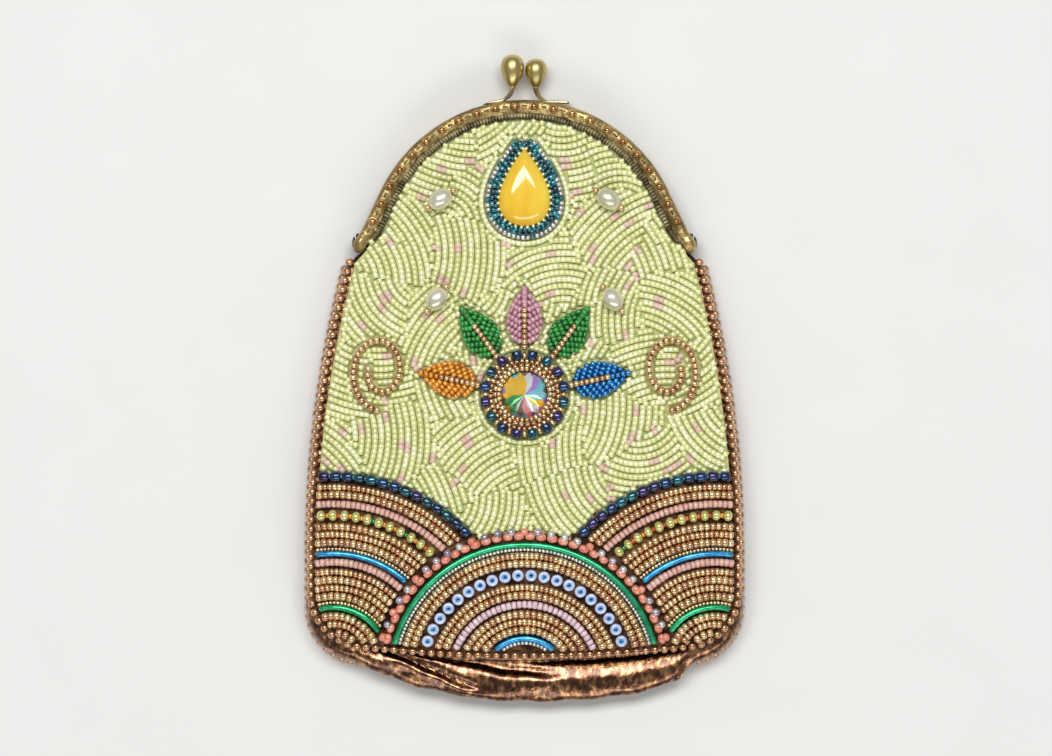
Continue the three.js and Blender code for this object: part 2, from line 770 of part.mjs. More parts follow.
// Scroll of beads curling outwards beside the petals.
function scroll(hand) {
  const line = [];
  const centreX = hand * SCROLL_X;
  for (let i = 0; i <= 40; i++) {
    const u = i / 40;
    const a = Math.PI * (1.5 - 2.6 * u);
    const r = SCROLL_RADIUS * (1 - 0.62 * u);
    const x = centreX - hand * r * Math.cos(a) * 0.95;
    const y = SCROLL_Y + r * Math.sin(a) * 1.25;
    line.push(new THREE.Vector3(x, y, onGround(x, y) + SCROLL_BEAD));
  }
  return beads(line, SCROLL_BEAD, SCROLL_PITCH, false, 3);
}

// Clasp stem: flat strip soldered on the arch, turned up to the foot of its ball.
function stem(side, ballX) {
  const radius = FRAME_RADIUS + SEAT + STEM_THICK / 2;
  const onArch = (x) => FRAME_CENTRE_Y + Math.sqrt(radius * radius - x * x);
  const hand = Math.sign(ballX);
  const footZ = partingZ + side * (PARTING_GAP / 2 + FRAME_DEPTH / 2);
  const ballZ = partingZ + side * BALL_LEAN;
  const crest = FRAME_CENTRE_Y + FRAME_RADIUS;
  const near = hand * (Math.abs(ballX) + STEM_TURN);
  const line = new THREE.CatmullRomCurve3([
    new THREE.Vector3(hand * STEM_FOOT, onArch(STEM_FOOT), footZ),
    new THREE.Vector3(mix(hand * STEM_FOOT, near, 0.5), onArch(mix(STEM_FOOT, Math.abs(near), 0.5)), footZ),
    new THREE.Vector3(near, onArch(near), footZ),
    new THREE.Vector3(ballX + hand * 0.7, crest + SEAT + STEM_THICK / 2 + 0.6, mix(footZ, ballZ, 0.4)),
    new THREE.Vector3(ballX, crest + BALL_RISE - SEAT, ballZ),
  ]);
  const rings = [];
  for (let i = 0; i <= 8; i++) {
    const middle = line.getPointAt(i / 8);
    const along = line.getTangentAt(i / 8);
    const flat = new THREE.Vector2(-along.y, along.x).normalize();
    const ring = [];
    for (const [n, w] of [[-1, -1], [1, -1], [1, 1], [-1, 1]]) {
      const off = (n * STEM_THICK) / 2;
      const z = middle.z + (w * STEM_WIDTH) / 2;
      ring.push(new THREE.Vector3(middle.x + flat.x * off, middle.y + flat.y * off, z));
    }
    rings.push(ring);
  }
  return loft(rings);
}

// Egg-shaped clasp ball, thick end up.
function ball(side, ballX, radius, length) {
  const profile = [
    [0, 0],
    [0.38, 0],
    [0.66, 0.2],
    [0.93, 0.44],
    [1, 0.6],
    [0.92, 0.79],
    [0.58, 0.95],
    [0, 1],
  ];
  const points = profile.map(([r, h]) => new THREE.Vector2(r * radius, h * length));
  const egg = new THREE.LatheGeometry(points, 10);
  const y = FRAME_CENTRE_Y + FRAME_RADIUS + BALL_RISE;
  egg.translate(ballX, y, partingZ + side * BALL_LEAN);
  return geometryOf(solid(egg));
}

// Hinge rivet with a head outside and one inside the ears.
function rivet(hand) {
  const inner = hingeX - 2 * FRAME_WALL - EAR_GAP - RIVET_CLEARANCE;
  const outer = hingeX + RIVET_CLEARANCE;
  const profile = [
    [0, inner - RIVET_HEAD],
    [RIVET_HEAD_RADIUS, inner - RIVET_HEAD],
    [RIVET_HEAD_RADIUS, inner],
    [RIVET_RADIUS, inner],
    [RIVET_RADIUS, outer],
    [RIVET_HEAD_RADIUS, outer],
    [RIVET_HEAD_RADIUS * 0.7, outer + RIVET_HEAD],
    [0, outer + RIVET_HEAD],
  ];
  const pin = new THREE.LatheGeometry(
    profile.map(([r, h]) => new THREE.Vector2(r, h)),
    8,
  );
  pin.rotateZ(hand > 0 ? -Math.PI / 2 : Math.PI / 2);
  pin.translate(0, hingeY, partingZ);
  return geometryOf(solid(pin));
}

const purse = new THREE.Group();
purse.name = "beaded_coin_purse";

function add(name, geometry, colour, metalness = 0, roughness = 0.6) {
  const material = new THREE.MeshStandardMaterial({ color: colour, metalness, roughness });
  material.name = name;
  const mesh = new THREE.Mesh(geometry, material);
  mesh.name = name;
  purse.add(mesh);
}

const BRASS = 0xa98a45;
const COPPER = 0x9a5a34;
const BRONZE = 0xb07a36;
const LIME = 0xcdd79a;
const TEAL = 0x0f4a5c;
const IRIS = 0x23497c;
const PINK = 0xdcae9f;
const GREEN = 0x147040;
const BLUE = 0x0f4f86;
const ORANGE = 0xe89a2c;
const CREAM = 0xe9ddb8;
const YELLOW = 0xf2c522;
const CORAL = 0xe6866a;
const LILAC = 0xdcb9c6;
const SKY = 0xa5b3e2;

// Frame, hinge and clasp
const frontBallX = -(BALL_RADIUS + SEAT / 2);
const rearBallX = REAR_BALL_RADIUS + SEAT / 2;
let frontHalf = frameHalf(1);
for (const p of ribPoints()) {
  const seed = new THREE.OctahedronGeometry(FRAME_BEAD_RADIUS, 0);
  seed.translate(p.x, p.y, p.z + FRAME_BEAD_RADIUS * 0.4);
  frontHalf = frontHalf.add(solid(seed));
}
add("rear_frame", geometryOf(frameHalf(-1)), BRASS, 0.9, 0.4);
add("front_frame", geometryOf(frontHalf), BRASS, 0.9, 0.4);
add("hinge_rivet_right", rivet(1), BRASS, 0.9, 0.4);
add("hinge_rivet_left", rivet(-1), BRASS, 0.9, 0.4);
add("front_clasp_stem", stem(1, frontBallX), BRASS, 0.9, 0.35);
add("rear_clasp_stem", stem(-1, rearBallX), BRASS, 0.9, 0.35);
add("front_clasp_ball", ball(1, frontBallX, BALL_RADIUS, BALL_LENGTH), BRASS, 0.9, 0.3);
add("rear_clasp_ball", ball(-1, rearBallX, REAR_BALL_RADIUS, REAR_BALL_LENGTH), BRASS, 0.9, 0.3);

// Leather
const panelLine = outline(EDGE_BEAD + SEAT, 0, 0);
const flapInset = FRAME_WALL + SEAT + PANEL_TUCK;
const flapStart = hingeY + SEAT / 2;
add("front_flap", sheet(gathered(archPlace(flapInset, flapStart)), frontFace, PANEL, 6, 3, 0), COPPER);
const bag = bagPlace(panelLine, foldBottom - SEAT);
add("front_panel", sheet(bag, frontFace, PANEL, 8, 5, 0), COPPER);
add("back_panel", sheet(gathered(backPlace), (x, y) => backFace(x, y) + PANEL, PANEL, 6, 8, 0), COPPER);
add("gusset", gusset(), COPPER);
const frontEdge = (y) => edgeHeight(y) - PANEL / 2;
add("front_edging", edging(frontLine, frontEdge, 3), BRONZE, 0.5, 0.35);
add("rear_edging", edging(rearLine, () => EDGE_BEAD + SEAT / 2, 3), BRONZE, 0.5, 0.35);

// Ground of bead rows
const foldPlace = (t, v) => {
  const y = mix(hingeY - SEAT / 2, foldBottom, v);
  return [t * (panelHingeHalf - FRAME_LIP), y];
};
const foldThick = PANEL + SEAT + GROUND;
add("front_fold", sheet(foldPlace, groundFace, foldThick, 6, 2, GROOVE), LIME);
const flapGround = archPlace(FRAME_FACE + SEAT + GROUND_TUCK, flapStart);
add("flap_ground", sheet(flapGround, groundFace, GROUND, 8, 6, GROOVE), LIME);
add("panel_ground", sheet(groundPlace, groundFace, GROUND, 10, 10, GROOVE), LIME);

// Stripes: colour, rows of beads, width and rise of a row in each band, from the rim of a fan inwards
const sideBands = [
  ["iris", IRIS, 1, LARGE_ROW, LARGE_RISE],
  ["bronze", BRONZE, 2, SEED_ROW, SEED_RISE],
  ["pink", PINK, 1, PINK_ROW, SEED_RISE],
  ["lime", LIME, 1, OVAL_ROW, OVAL_RISE],
  ["bronze_middle", BRONZE, 3, SEED_ROW, SEED_RISE],
  ["blue", BLUE, 1, BUGLE_ROW, BUGLE_RISE],
  ["pink_inner", PINK, 1, PINK_ROW, SEED_RISE],
  ["bronze_inner", BRONZE, 4, SEED_ROW, SEED_RISE],
  ["green", GREEN, 1, BUGLE_ROW, BUGLE_RISE],
];
const middleBands = [
  ["coral", CORAL, 1, LARGE_ROW, LARGE_RISE],
  ["green", GREEN, 1, BUGLE_ROW, BUGLE_RISE],
  ["bronze", BRONZE, 2, SEED_ROW, SEED_RISE],
  ["sky", SKY, 1, RING_ROW, OVAL_RISE],
  ["bronze_middle", BRONZE, 2, SEED_ROW, SEED_RISE],
  ["lilac", LILAC, 1, PINK_ROW, SEED_RISE],
  ["bronze_inner", BRONZE, 3, SEED_ROW, SEED_RISE],
  ["blue", BLUE, 1, BUGLE_ROW, BUGLE_RISE],
];
function fanOf(name, fan, radius, bands) {
  let outer = radius;
  for (const [kind, colour, rows, width, rise] of bands) {
    const inner = outer - rows * width + STRIPE_GAP;
    add(`${name}_${kind}`, stripe(fan, outer, inner, rows, rise), colour, 0, 0.3);
    outer -= rows * width;
  }
}
fanOf("left_fan", { x: -SIDE_FAN_X, y: SIDE_FAN_Y }, SIDE_FAN, sideBands);
fanOf("right_fan", { x: SIDE_FAN_X, y: SIDE_FAN_Y }, SIDE_FAN, sideBands);
fanOf("middle_fan", { x: 0, y: MIDDLE_FAN_Y }, MIDDLE_FAN, middleBands);

// Stones, petals, pearls and scrolls
add("cabochon", cabochon(), YELLOW, 0, 0.15);
const round = (r) => (a) => new THREE.Vector2(r * Math.sin(a), CRYSTAL_Y + r * Math.cos(a));
const dropRing = (a) => dropPoint(a, BEZEL_BEAD + SEAT);
add("cabochon_bezel", bezel(dropRing, BEZEL_BEAD, BEZEL_PITCH), TEAL, 0.2, 0.3);
add("crystal", crystal(), SKY, 0, 0.05);
const bezelRadius = CRYSTAL_RADIUS + SEAT + BEZEL_BEAD;
add("crystal_bezel", bezel(round(bezelRadius), BEZEL_BEAD, BEZEL_PITCH), BRONZE, 0.5, 0.35);
const irisRadius = bezelRadius + BEZEL_BEAD + SEAT + IRIS_BEAD;
add("crystal_iris_ring", bezel(round(irisRadius), IRIS_BEAD, IRIS_PITCH), IRIS, 0.3, 0.25);
const petals = [
  ["green_left", -36, GREEN],
  ["green_right", 36, GREEN],
  ["orange", -78, ORANGE],
  ["blue", 78, BLUE],
  ["pink", 0, PINK],
];
for (const [name, angle, colour] of petals) {
  add(`petal_${name}`, petal(angle * RAD), colour, 0, 0.3);
}
const pearls = [
  ["flap_left", -FLAP_PEARL_X, FLAP_PEARL_Y, 0.6],
  ["flap_right", FLAP_PEARL_X, FLAP_PEARL_Y, -0.6],
  ["left", -PEARL_X, PEARL_Y, 0.9],
  ["right", PEARL_X, PEARL_Y, -0.9],
];
for (const [name, x, y, angle] of pearls) {
  add(`pearl_${name}`, pearl(x, y, angle), CREAM, 0, 0.3);
}
add("scroll_left", scroll(-1), BRONZE, 0.5, 0.35);
add("scroll_right", scroll(1), BRONZE, 0.5, 0.35);

export default purse;
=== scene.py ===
import itertools
import random
from math import copysign, cos, exp, hypot, pi, radians, sin, sqrt, tan

import bpy
import numpy as np
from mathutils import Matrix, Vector, noise


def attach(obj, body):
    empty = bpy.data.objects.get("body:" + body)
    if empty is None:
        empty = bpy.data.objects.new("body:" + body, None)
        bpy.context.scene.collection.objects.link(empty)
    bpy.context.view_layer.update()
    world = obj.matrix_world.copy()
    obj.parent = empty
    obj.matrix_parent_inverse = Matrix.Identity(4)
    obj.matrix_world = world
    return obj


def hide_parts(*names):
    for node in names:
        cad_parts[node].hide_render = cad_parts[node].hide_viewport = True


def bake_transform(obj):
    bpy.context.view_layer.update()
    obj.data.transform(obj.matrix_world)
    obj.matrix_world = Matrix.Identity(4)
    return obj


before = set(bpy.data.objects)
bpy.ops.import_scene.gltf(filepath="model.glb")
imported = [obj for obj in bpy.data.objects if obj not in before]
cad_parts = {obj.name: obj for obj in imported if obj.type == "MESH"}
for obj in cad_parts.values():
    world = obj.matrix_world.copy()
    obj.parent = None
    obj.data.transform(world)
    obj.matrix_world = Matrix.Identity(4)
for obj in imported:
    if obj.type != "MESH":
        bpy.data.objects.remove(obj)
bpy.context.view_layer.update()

MM = 0.001
BAG, FLAP = "rear_half", "front_half"
UP = (0, 0, 1)
rng = random.Random(11)

# Sizes of the part's source, in millimetres
FRAME_RADIUS, FRAME_CENTRE_Y, FRAME_LEG = 40.0, 30.0, 14.5
FRAME_DEPTH, FRAME_END_DEPTH, FRAME_TAPER = 4.5, 4.0, 9.0
FRAME_FACE, FRAME_LIP_DROP, FRAME_WALL, FRAME_LIFT, PARTING_GAP = 5.0, 0.7, 0.8, 0.3, 0.3
FRAME_BEAD_PITCH, FRAME_BEAD_MARGIN = 4.9, 4.0
EAR_RADIUS, EAR_GAP = 2.4, 0.3
RIVET_RADIUS, RIVET_HEAD_RADIUS, RIVET_HEAD, RIVET_CLEARANCE = 0.8, 1.6, 0.7, 0.3
BALL_RADIUS, BALL_LENGTH, REAR_BALL_RADIUS, REAR_BALL_LENGTH = 2.9, 8.6, 2.7, 7.6
BALL_RISE, BALL_LEAN, STEM_WIDTH, STEM_THICK, STEM_FOOT, STEM_TURN = 3.0, 0.4, 2.2, 0.8, 10.5, 2.6
BODY_HALF, HINGE_HALF, WIDE_Y, BOTTOM_Y, BOTTOM_BOW, CORNER = 53.5, 42.6, -43.0, -67.0, 2.2, 14.0
REAR_WIDER, REAR_LONGER = 1.0, 4.5
EDGE_HEIGHT, EDGE_RISE, FLAP_DOME, BODY_DOME, DOME_RUN, DOME_START = 11.0, 70.0, 1.2, 3.0, 26.0, 3.0
PANEL, BACK_SAG, FOLD_WIDTH, SEAT, GROUND, EDGE_BEAD = 1.2, 1.2, 6.4, 0.3, 1.0, 1.15
GUSSET, GUSSET_SIDE, GUSSET_BOTTOM, GUSSET_PLEAT, GUSSET_PLEATS = 1.0, -0.6, 11.6, 0.7, 5
SIDE_FAN_X, SIDE_FAN_Y, SIDE_FAN, MIDDLE_FAN_Y, MIDDLE_FAN = 47.4, -70.0, 47.0, -75.0, 37.5
STRIPE_GAP, STRIPE_SEAT = 0.3, 0.45
CABOCHON_Y, CABOCHON_LENGTH, CABOCHON_WIDTH, CABOCHON_RISE = 47.5, 20.0, 15.0, 4.4
BEZEL_BEAD, CRYSTAL_Y, CRYSTAL_RADIUS, CRYSTAL_RISE, IRIS_BEAD = 1.1, -4.0, 5.8, 3.6, 1.35
PETAL_LENGTH, PETAL_WIDTH, PETAL_RISE = 16.0, 9.5, 1.8
PEARL_LENGTH, PEARL_WIDTH = 6.4, 5.0
SCROLL_RADIUS, SCROLL_X, SCROLL_Y = 8.0, 36.0, 2.0

SPLAY = radians(25.6)
ARCH_END = pi / 2 - SPLAY
TANGENT_X = FRAME_RADIUS * sin(ARCH_END)
TANGENT_Y = FRAME_CENTRE_Y + FRAME_RADIUS * cos(ARCH_END)
HINGE_X = TANGENT_X + FRAME_LEG * sin(SPLAY)
HINGE_Y = TANGENT_Y - FRAME_LEG * cos(SPLAY)
FRAME_LENGTH = 2 * FRAME_LEG + 2 * ARCH_END * FRAME_RADIUS
FRAME_TOP = FRAME_CENTRE_Y + FRAME_RADIUS
PARTING_Z = FRAME_LIFT + FRAME_DEPTH + PARTING_GAP / 2
FOLD_BOTTOM = HINGE_Y - FOLD_WIDTH
BAG_TOP = HINGE_Y - FRAME_END_DEPTH - PARTING_GAP / 2 - 2 * SEAT
PANEL_HINGE_HALF = HINGE_X - 2 * FRAME_WALL - EAR_GAP - RIVET_CLEARANCE - RIVET_HEAD - 2 * SEAT


def clamp(u):
    return min(1.0, max(0.0, u))


def mix(a, b, u):
    return a + (b - a) * u


def ease(u):
    u = clamp(u)
    return u * u * (3 - 2 * u)


def crown(u):
    return 1 - (1 - clamp(u)) ** 2


def frame_depth(y):
    return mix(FRAME_END_DEPTH, FRAME_DEPTH, ease((y - HINGE_Y) / FRAME_TAPER))


def lip_height(y):
    return PARTING_GAP / 2 + frame_depth(y) - FRAME_LIP_DROP - FRAME_WALL


def arch_half(y, inset):
    """Half width of the arch at a height, inside its outer line by inset."""
    radius = FRAME_RADIUS - inset
    end = FRAME_CENTRE_Y + radius * cos(ARCH_END)
    if y > end:
        return sqrt(max(0.0, radius**2 - (y - FRAME_CENTRE_Y) ** 2))
    return min(radius * sin(ARCH_END) + (end - y) * tan(SPLAY), PANEL_HINGE_HALF)


def arch_dome(x, y):
    room = min(arch_half(y, FRAME_FACE) - abs(x), FRAME_TOP - FRAME_FACE - y)
    return crown((room - DOME_START) / (DOME_RUN / 2))


class Outline:
    """Outline of the bag, inside the edging string by inset, grown by wider and longer."""

    def __init__(self, inset=0.0, wider=0.0, longer=0.0):
        self.half = BODY_HALF + wider - inset
        self.corner = CORNER - inset
        self.bottom = BOTTOM_Y - longer + inset
        self.turn = self.bottom + self.corner

    def half_at(self, y):
        if y < self.turn:
            down = min(self.corner, self.turn - y)
            return self.half - self.corner + sqrt(self.corner**2 - down**2)
        up = max(0.0, (y - WIDE_Y) / (HINGE_Y - WIDE_Y))
        return self.half - (BODY_HALF - HINGE_HALF) * up * up

    def bow_at(self, t):
        return BOTTOM_BOW * (1 - t * t)

    def rim(self, start, sides, corners, bottoms):
        """Points round the outline, right to left by way of the bottom."""
        straight = self.half - self.corner
        downs = [mix(start, self.turn, i / sides) for i in range(sides)]
        turns = [i / corners * pi / 2 for i in range(corners)]
        shares = [1 - i / bottoms for i in range(bottoms + 1)]
        points = [(self.half_at(y), y) for y in downs]
        points += [(straight + self.corner * cos(a), self.turn - self.corner * sin(a)) for a in turns]
        points += [(t * straight, self.bottom - self.bow_at(t)) for t in shares]
        return points + [(-x, y) for x, y in reversed(points[:-1])]


FRONT_LINE = Outline()
REAR_LINE = Outline(0, REAR_WIDER, REAR_LONGER)
PANEL_LINE = Outline(EDGE_BEAD + SEAT)
BACK_PANEL_LINE = Outline(EDGE_BEAD + SEAT, REAR_WIDER, REAR_LONGER)
GROUND_LINE = Outline(EDGE_BEAD + SEAT + 0.7)
FANS = [("left_fan", -SIDE_FAN_X, SIDE_FAN_Y, SIDE_FAN), ("right_fan", SIDE_FAN_X, SIDE_FAN_Y, SIDE_FAN),
        ("middle_fan", 0, MIDDLE_FAN_Y, MIDDLE_FAN)]
EDGE_AT_HINGE = PARTING_Z + lip_height(HINGE_Y) - SEAT


def edge_height(y):
    return mix(EDGE_AT_HINGE, EDGE_HEIGHT, ease((HINGE_Y - y) / EDGE_RISE))


def front_face(x, y):
    """Outer face of the front panel."""
    if y > HINGE_Y:
        return PARTING_Z + lip_height(y) - SEAT + FLAP_DOME * arch_dome(x, y)
    inside = min(FRONT_LINE.half_at(y) - abs(x), y - FRONT_LINE.bottom + CORNER / 4)
    swell = mix(FLAP_DOME, BODY_DOME, ease((HINGE_Y - y) / EDGE_RISE))
    return edge_height(y) + swell * crown(inside / DOME_RUN)


def back_face(x, y):
    """Outer face of the back panel, flat on the table below the frame."""
    rise = ease((y - BAG_TOP) / (HINGE_Y - BAG_TOP))
    edge = PARTING_Z - lip_height(max(y, HINGE_Y)) + SEAT
    return rise * (edge - BACK_SAG * arch_dome(x, y))


def on_ground(x, y):
    return front_face(x, y) + GROUND + 2 * SEAT


def normal_at(x, y, d=0.25):
    dx = (front_face(x + d, y) - front_face(x - d, y)) / (2 * d)
    dy = (front_face(x, y + d) - front_face(x, y - d)) / (2 * d)
    return np.array(Vector((-dx, -dy, 1)).normalized())


# Materials


def linear(colour):
    """Linear tone of a hex colour."""
    tones = (((c / 255 + 0.055) / 1.055) ** 2.4 if c > 10 else c / 255 / 12.92 for c in bytes.fromhex(colour))
    return (*tones, 1.0)


class Surface:
    """A material: its Principled shader and the nodes that feed it, which read the place on the object."""

    def __init__(self, name, stretch, **inputs):
        self.made = bpy.data.materials.new(name)
        self.made.use_nodes = True
        self.tree = self.made.node_tree
        self.shader = self.tree.nodes["Principled BSDF"]
        self.fill(self.shader, **inputs)
        self.place = self.node("Mapping", "Vector", Vector=self.node("TexCoord", "Object"), Scale=stretch)

    def fill(self, node, **inputs):
        """Sets or links sockets; a name has _ for each space."""
        for key, value in inputs.items():
            socket = node.inputs[key.replace("_", " ")]
            if isinstance(value, bpy.types.NodeSocket):
                self.tree.links.new(value, socket)
            else:
                socket.default_value = value

    def node(self, kind, out, **inputs):
        node = self.tree.nodes.new("ShaderNode" + kind)
        self.fill(node, **inputs)
        return node.outputs[out]

    def noise(self, scale, detail, kind="FBM"):
        out = self.node("TexNoise", "Fac", Vector=self.place, Scale=scale, Detail=detail)
        out.node.noise_type = kind
        return out

    def ramp(self, fac, *stops):
        out = self.node("ValToRGB", "Color", Fac=fac)
        marks = out.node.color_ramp.elements
        marks[0].position, marks[1].position = stops[0][0], stops[-1][0]
        for at, _ in stops[1:-1]:
            marks.new(at)
        for mark, (_, colour) in zip(marks, stops):
            mark.color = linear(colour)
        return out


def material(name, dark, light, metallic=0.0, rough=(0.2, 0.3), coat=0.0, scale=700.0, low=0.35, high=0.65,
             bump=0.0, grain=1500.0, stretch=(1.0, 1.0, 1.0), sheen=0.0):
    """Two tones in a noise, with roughness from the same noise and a fine bump."""
    s = Surface(name, stretch, Metallic=metallic, Coat_Weight=coat, Coat_Roughness=0.06, Sheen_Weight=sheen)
    tone = s.noise(scale, 3)
    s.fill(s.shader, Base_Color=s.ramp(tone, (low, dark), (high, light)),
           Roughness=s.node("MapRange", "Result", Value=tone, From_Min=low, From_Max=high,
                            To_Min=rough[1], To_Max=rough[0]))
    if bump:
        fine = s.noise(grain, 4)
        s.fill(s.shader, Normal=s.node("Bump", "Normal", Strength=bump, Distance=0.0004, Height=fine))
    return s.made


def leather(name, dark, middle, light, metallic, rough, depth, stretch=(1.0, 1.0, 1.0), coat=0.0):
    """Foiled leather: clouds of three tones, and a fine grain over crinkles that shine on their ridges."""
    s = Surface(name, stretch, Metallic=metallic, Coat_Weight=coat, Coat_Roughness=0.1)
    crinkle, fine, cloud = s.noise(380, 4, "RIDGED_MULTIFRACTAL"), s.noise(1900, 4), s.noise(330, 6)
    height = s.tree.nodes.new("ShaderNodeMath")
    height.operation = "MULTIPLY_ADD"
    height.inputs[1].default_value = 0.5
    s.tree.links.new(fine, height.inputs[0])
    s.tree.links.new(crinkle, height.inputs[2])
    s.fill(s.shader, Base_Color=s.ramp(cloud, (0.38, dark), (0.5, middle), (0.62, light)),
           Normal=s.node("Bump", "Normal", Strength=depth, Distance=0.0006, Height=height.outputs["Value"]),
           Roughness=s.node("MapRange", "Result", Value=crinkle, To_Min=rough[1], To_Max=rough[0]))
    return s.made


# Finishes: metallic, roughness, coat, scale of the noise per metre, its low and high mark, bump, grain
BRONZE = (0.8, (0.14, 0.24), 0.9, 420)
IRIS = (0.75, (0.1, 0.22), 1.0, 500)
FOIL = (0.8, (0.24, 0.32), 1.0, 500)
CORD = (0.9, (0.26, 0.34), 0.6, 500)
CRYSTAL = (0.45, (0.05, 0.12), 1.0, 200)
FELT = (0.0, (0.7, 0.9), 0.0, 900, 0.35, 0.65, 0.2)
# Dark tone, light tone and finish
TONES = {
    "lime": ("dee09c", "eceeb2", 0.25, (0.24, 0.34), 0.8),
    "lime_pale": ("e8eab0", "f4f5c8", 0.25, (0.22, 0.32), 0.8),
    "lime_deep": ("d2d58e", "e0e3a4", 0.25, (0.26, 0.36), 0.8),
    "dusty": ("d2ae9c", "e8caba", 0.0, (0.24, 0.36), 0.5),
    "bronze": ("d8ac76", "f2d09e", *BRONZE),
    "bronze_gold": ("e8c288", "fae0b2", *BRONZE),
    "bronze_deep": ("c08c64", "e0ae82", 0.8, (0.15, 0.26), 0.9, 420),
    "bronze_edge": ("b6845a", "dcae7e", 0.85, (0.14, 0.24), 0.8, 420),
    "bronze_dark": ("a87246", "e0ac70", 1.0, (0.12, 0.22), 0.0, 420),
    "iris": ("081636", "224a80", *IRIS),
    "iris_teal": ("082e3e", "22788a", *IRIS),
    "iris_violet": ("181238", "46387a", *IRIS),
    "pink": ("d09c8e", "eabeb0", 0.0, (0.22, 0.34), 0.6),
    "lilac": ("d4b2bc", "eed6dc", 0.0, (0.2, 0.32), 0.6),
    "olive": ("c4c660", "eeea9e", 0.6, (0.1, 0.2), 1.0, 600),
    "red": ("a82c1a", "e26230", 0.2, (0.14, 0.26), 0.8),
    "green": ("10925c", "24ac72", *FOIL),
    "green_cord": ("12965c", "36c488", *CORD),
    "blue_cord": ("1a80c4", "4cb2e8", *CORD),
    "leaf": ("0e6822", "2ea03e", 0.1, (0.12, 0.24), 1.0, 500),
    "blue": ("1a7cc4", "389cde", *FOIL),
    "orange": ("d67c1a", "f6b23e", 0.3, (0.14, 0.26), 0.9),
    "rose": ("ba8092", "deaab8", 0.1, (0.16, 0.28), 0.8),
    "coral": ("d6725c", "f2a48a", 0.05, (0.14, 0.26), 0.9),
    "smoke": ("807a8c", "d6c8d6", 0.5, (0.08, 0.18), 1.0, 500),
    "sky": ("aebce0", "d2dcf3", 0.05, (0.16, 0.28), 0.8),
    "silver": ("babab8", "f0eee8", 0.6, (0.14, 0.26), 0.6),
    "teal": ("0c4c5c", "3ca0ac", 0.5, (0.1, 0.22), 1.0, 500),
    "pearl": ("d6d2b0", "f4f0d8", 0.6, (0.2, 0.3), 0.8, 160),
    "brass": ("7c6a44", "ceb278", 1.0, (0.3, 0.48), 0.0, 190, 0.3, 0.7, 1.0, 700),
    # brass_dark is painted shade on the frame's inner lip, and the rivets' tone; brass_tick is painted highlight on
    # the lip's tooth crests and painted shade in the slits between frame beads.
    "brass_dark": ("262218", "60563c", 1.0, (0.36, 0.55), 0.0, 420, 0.35, 0.65, 0.2),
    "brass_tick": ("544d37", "847a5a", 1.0, (0.36, 0.5), 0.0, 420, 0.35, 0.65, 0.2),
    "brass_bright": ("ac9c5e", "cebc7e", 1.0, (0.3, 0.44), 0.0, 150, 0.3, 0.6, 0.05),
    "brass_worn": ("8a8064", "ccc09c", 1.0, (0.28, 0.44), 0.0, 260, 0.3, 0.6, 0.1),
    "backing": ("bec480", "d0d694", 0.0, (0.6, 0.8), 0.0, 1200, 0.35, 0.65, 0.3),
    "thread": ("966c46", "c49a6a", 0.0, (0.45, 0.6), 0.0, 1400, 0.35, 0.65, 0.4),
    "leaf_pad": ("063c14", "145c24", *FELT),
    "orange_pad": ("965212", "be7022", *FELT),
    "blue_pad": ("04224a", "0c3a6c", *FELT),
    "rose_pad": ("845464", "a67482", *FELT),
}
M = {name: material(name, *row) for name, row in TONES.items()}
M["yellow"] = material("yellow", "eab210", "fde04c", 0.0, (0.08, 0.14), 1.0, 90, stretch=(1.0, 0.25, 1.0))
M["lining"] = material("lining", "46281c", "683e2a", 0.0, (0.7, 0.85), 0.0, 900, bump=0.35, sheen=0.4)
# The front's copper is a darker copy of the roll's leather: painted shade where the leather shows between bead rows.
M["copper"] = leather("copper", "2e1e14", "4a3222", "745238", 0.9, (0.26, 0.44), 0.14)
M["copper_roll"] = leather(
    "copper_roll", "4e2e1d", "785035", "b2855b", 1.0, (0.09, 0.19), 0.24, (2.2, 1.4, 1.4), 0.65)
M["copper_soft"] = leather("copper_soft", "70422c", "845237", "9a6444", 0.9, (0.22, 0.42), 0.35, coat=0.2)
# Facet tones of the crystal: painted colours of light breaking in the stone, the dark tone a painted dark
# reflection.
CRYSTAL_TONES = [material("crystal_" + name, dark, light, *CRYSTAL) for name, dark, light in (
    ("gold", "f6b81e", "ffd854"), ("aqua", "58c4d6", "a0e6ee"), ("rose", "ec808c", "fab4b6"),
    ("violet", "9676d0", "ceb2f0"), ("green", "348e52", "78c480"), ("clear", "d6d8de", "f6f8fa"),
    ("dark", "605c58", "968c80"))]
BRONZES = ["bronze", "bronze", "bronze_gold", "bronze_deep"]

# Meshes


def link(name, data):
    obj = bpy.data.objects.new(name, data)
    bpy.context.collection.objects.link(obj)
    return obj


def make(name, points, faces, mats, index=None, smooth=True, sharp=None):
    """Mesh object from points in millimetres."""
    mesh = bpy.data.meshes.new(name)
    mesh.from_pydata((np.array(points, float) * MM).tolist(), [], faces)
    for m in mats:
        mesh.materials.append(m)
    if index is not None:
        mesh.polygons.foreach_set("material_index", index)
    mesh.polygons.foreach_set("use_smooth", [smooth] * len(mesh.polygons))
    if sharp:
        mesh.set_sharp_from_angle(angle=radians(sharp))
    mesh.update()
    return link(name, mesh)


def solid(name, skin, tone, sharp=None):
    return make(name, *skin, [M[tone]], sharp=sharp)


def put(obj, body, slot, *nodes):
    """The piece rides on a body and stands for CAD nodes."""
    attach(obj, body)
    if nodes:
        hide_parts(*nodes)


def outward(points, faces):
    """The same faces, turned so that they look out of the solid."""
    p = np.array(points)
    volume = sum(np.dot(p[f[0]], np.cross(p[f[k]], p[f[k + 1]])) for f in faces for k in range(1, len(f) - 1))
    return faces if volume > 0 else [tuple(reversed(f)) for f in faces]


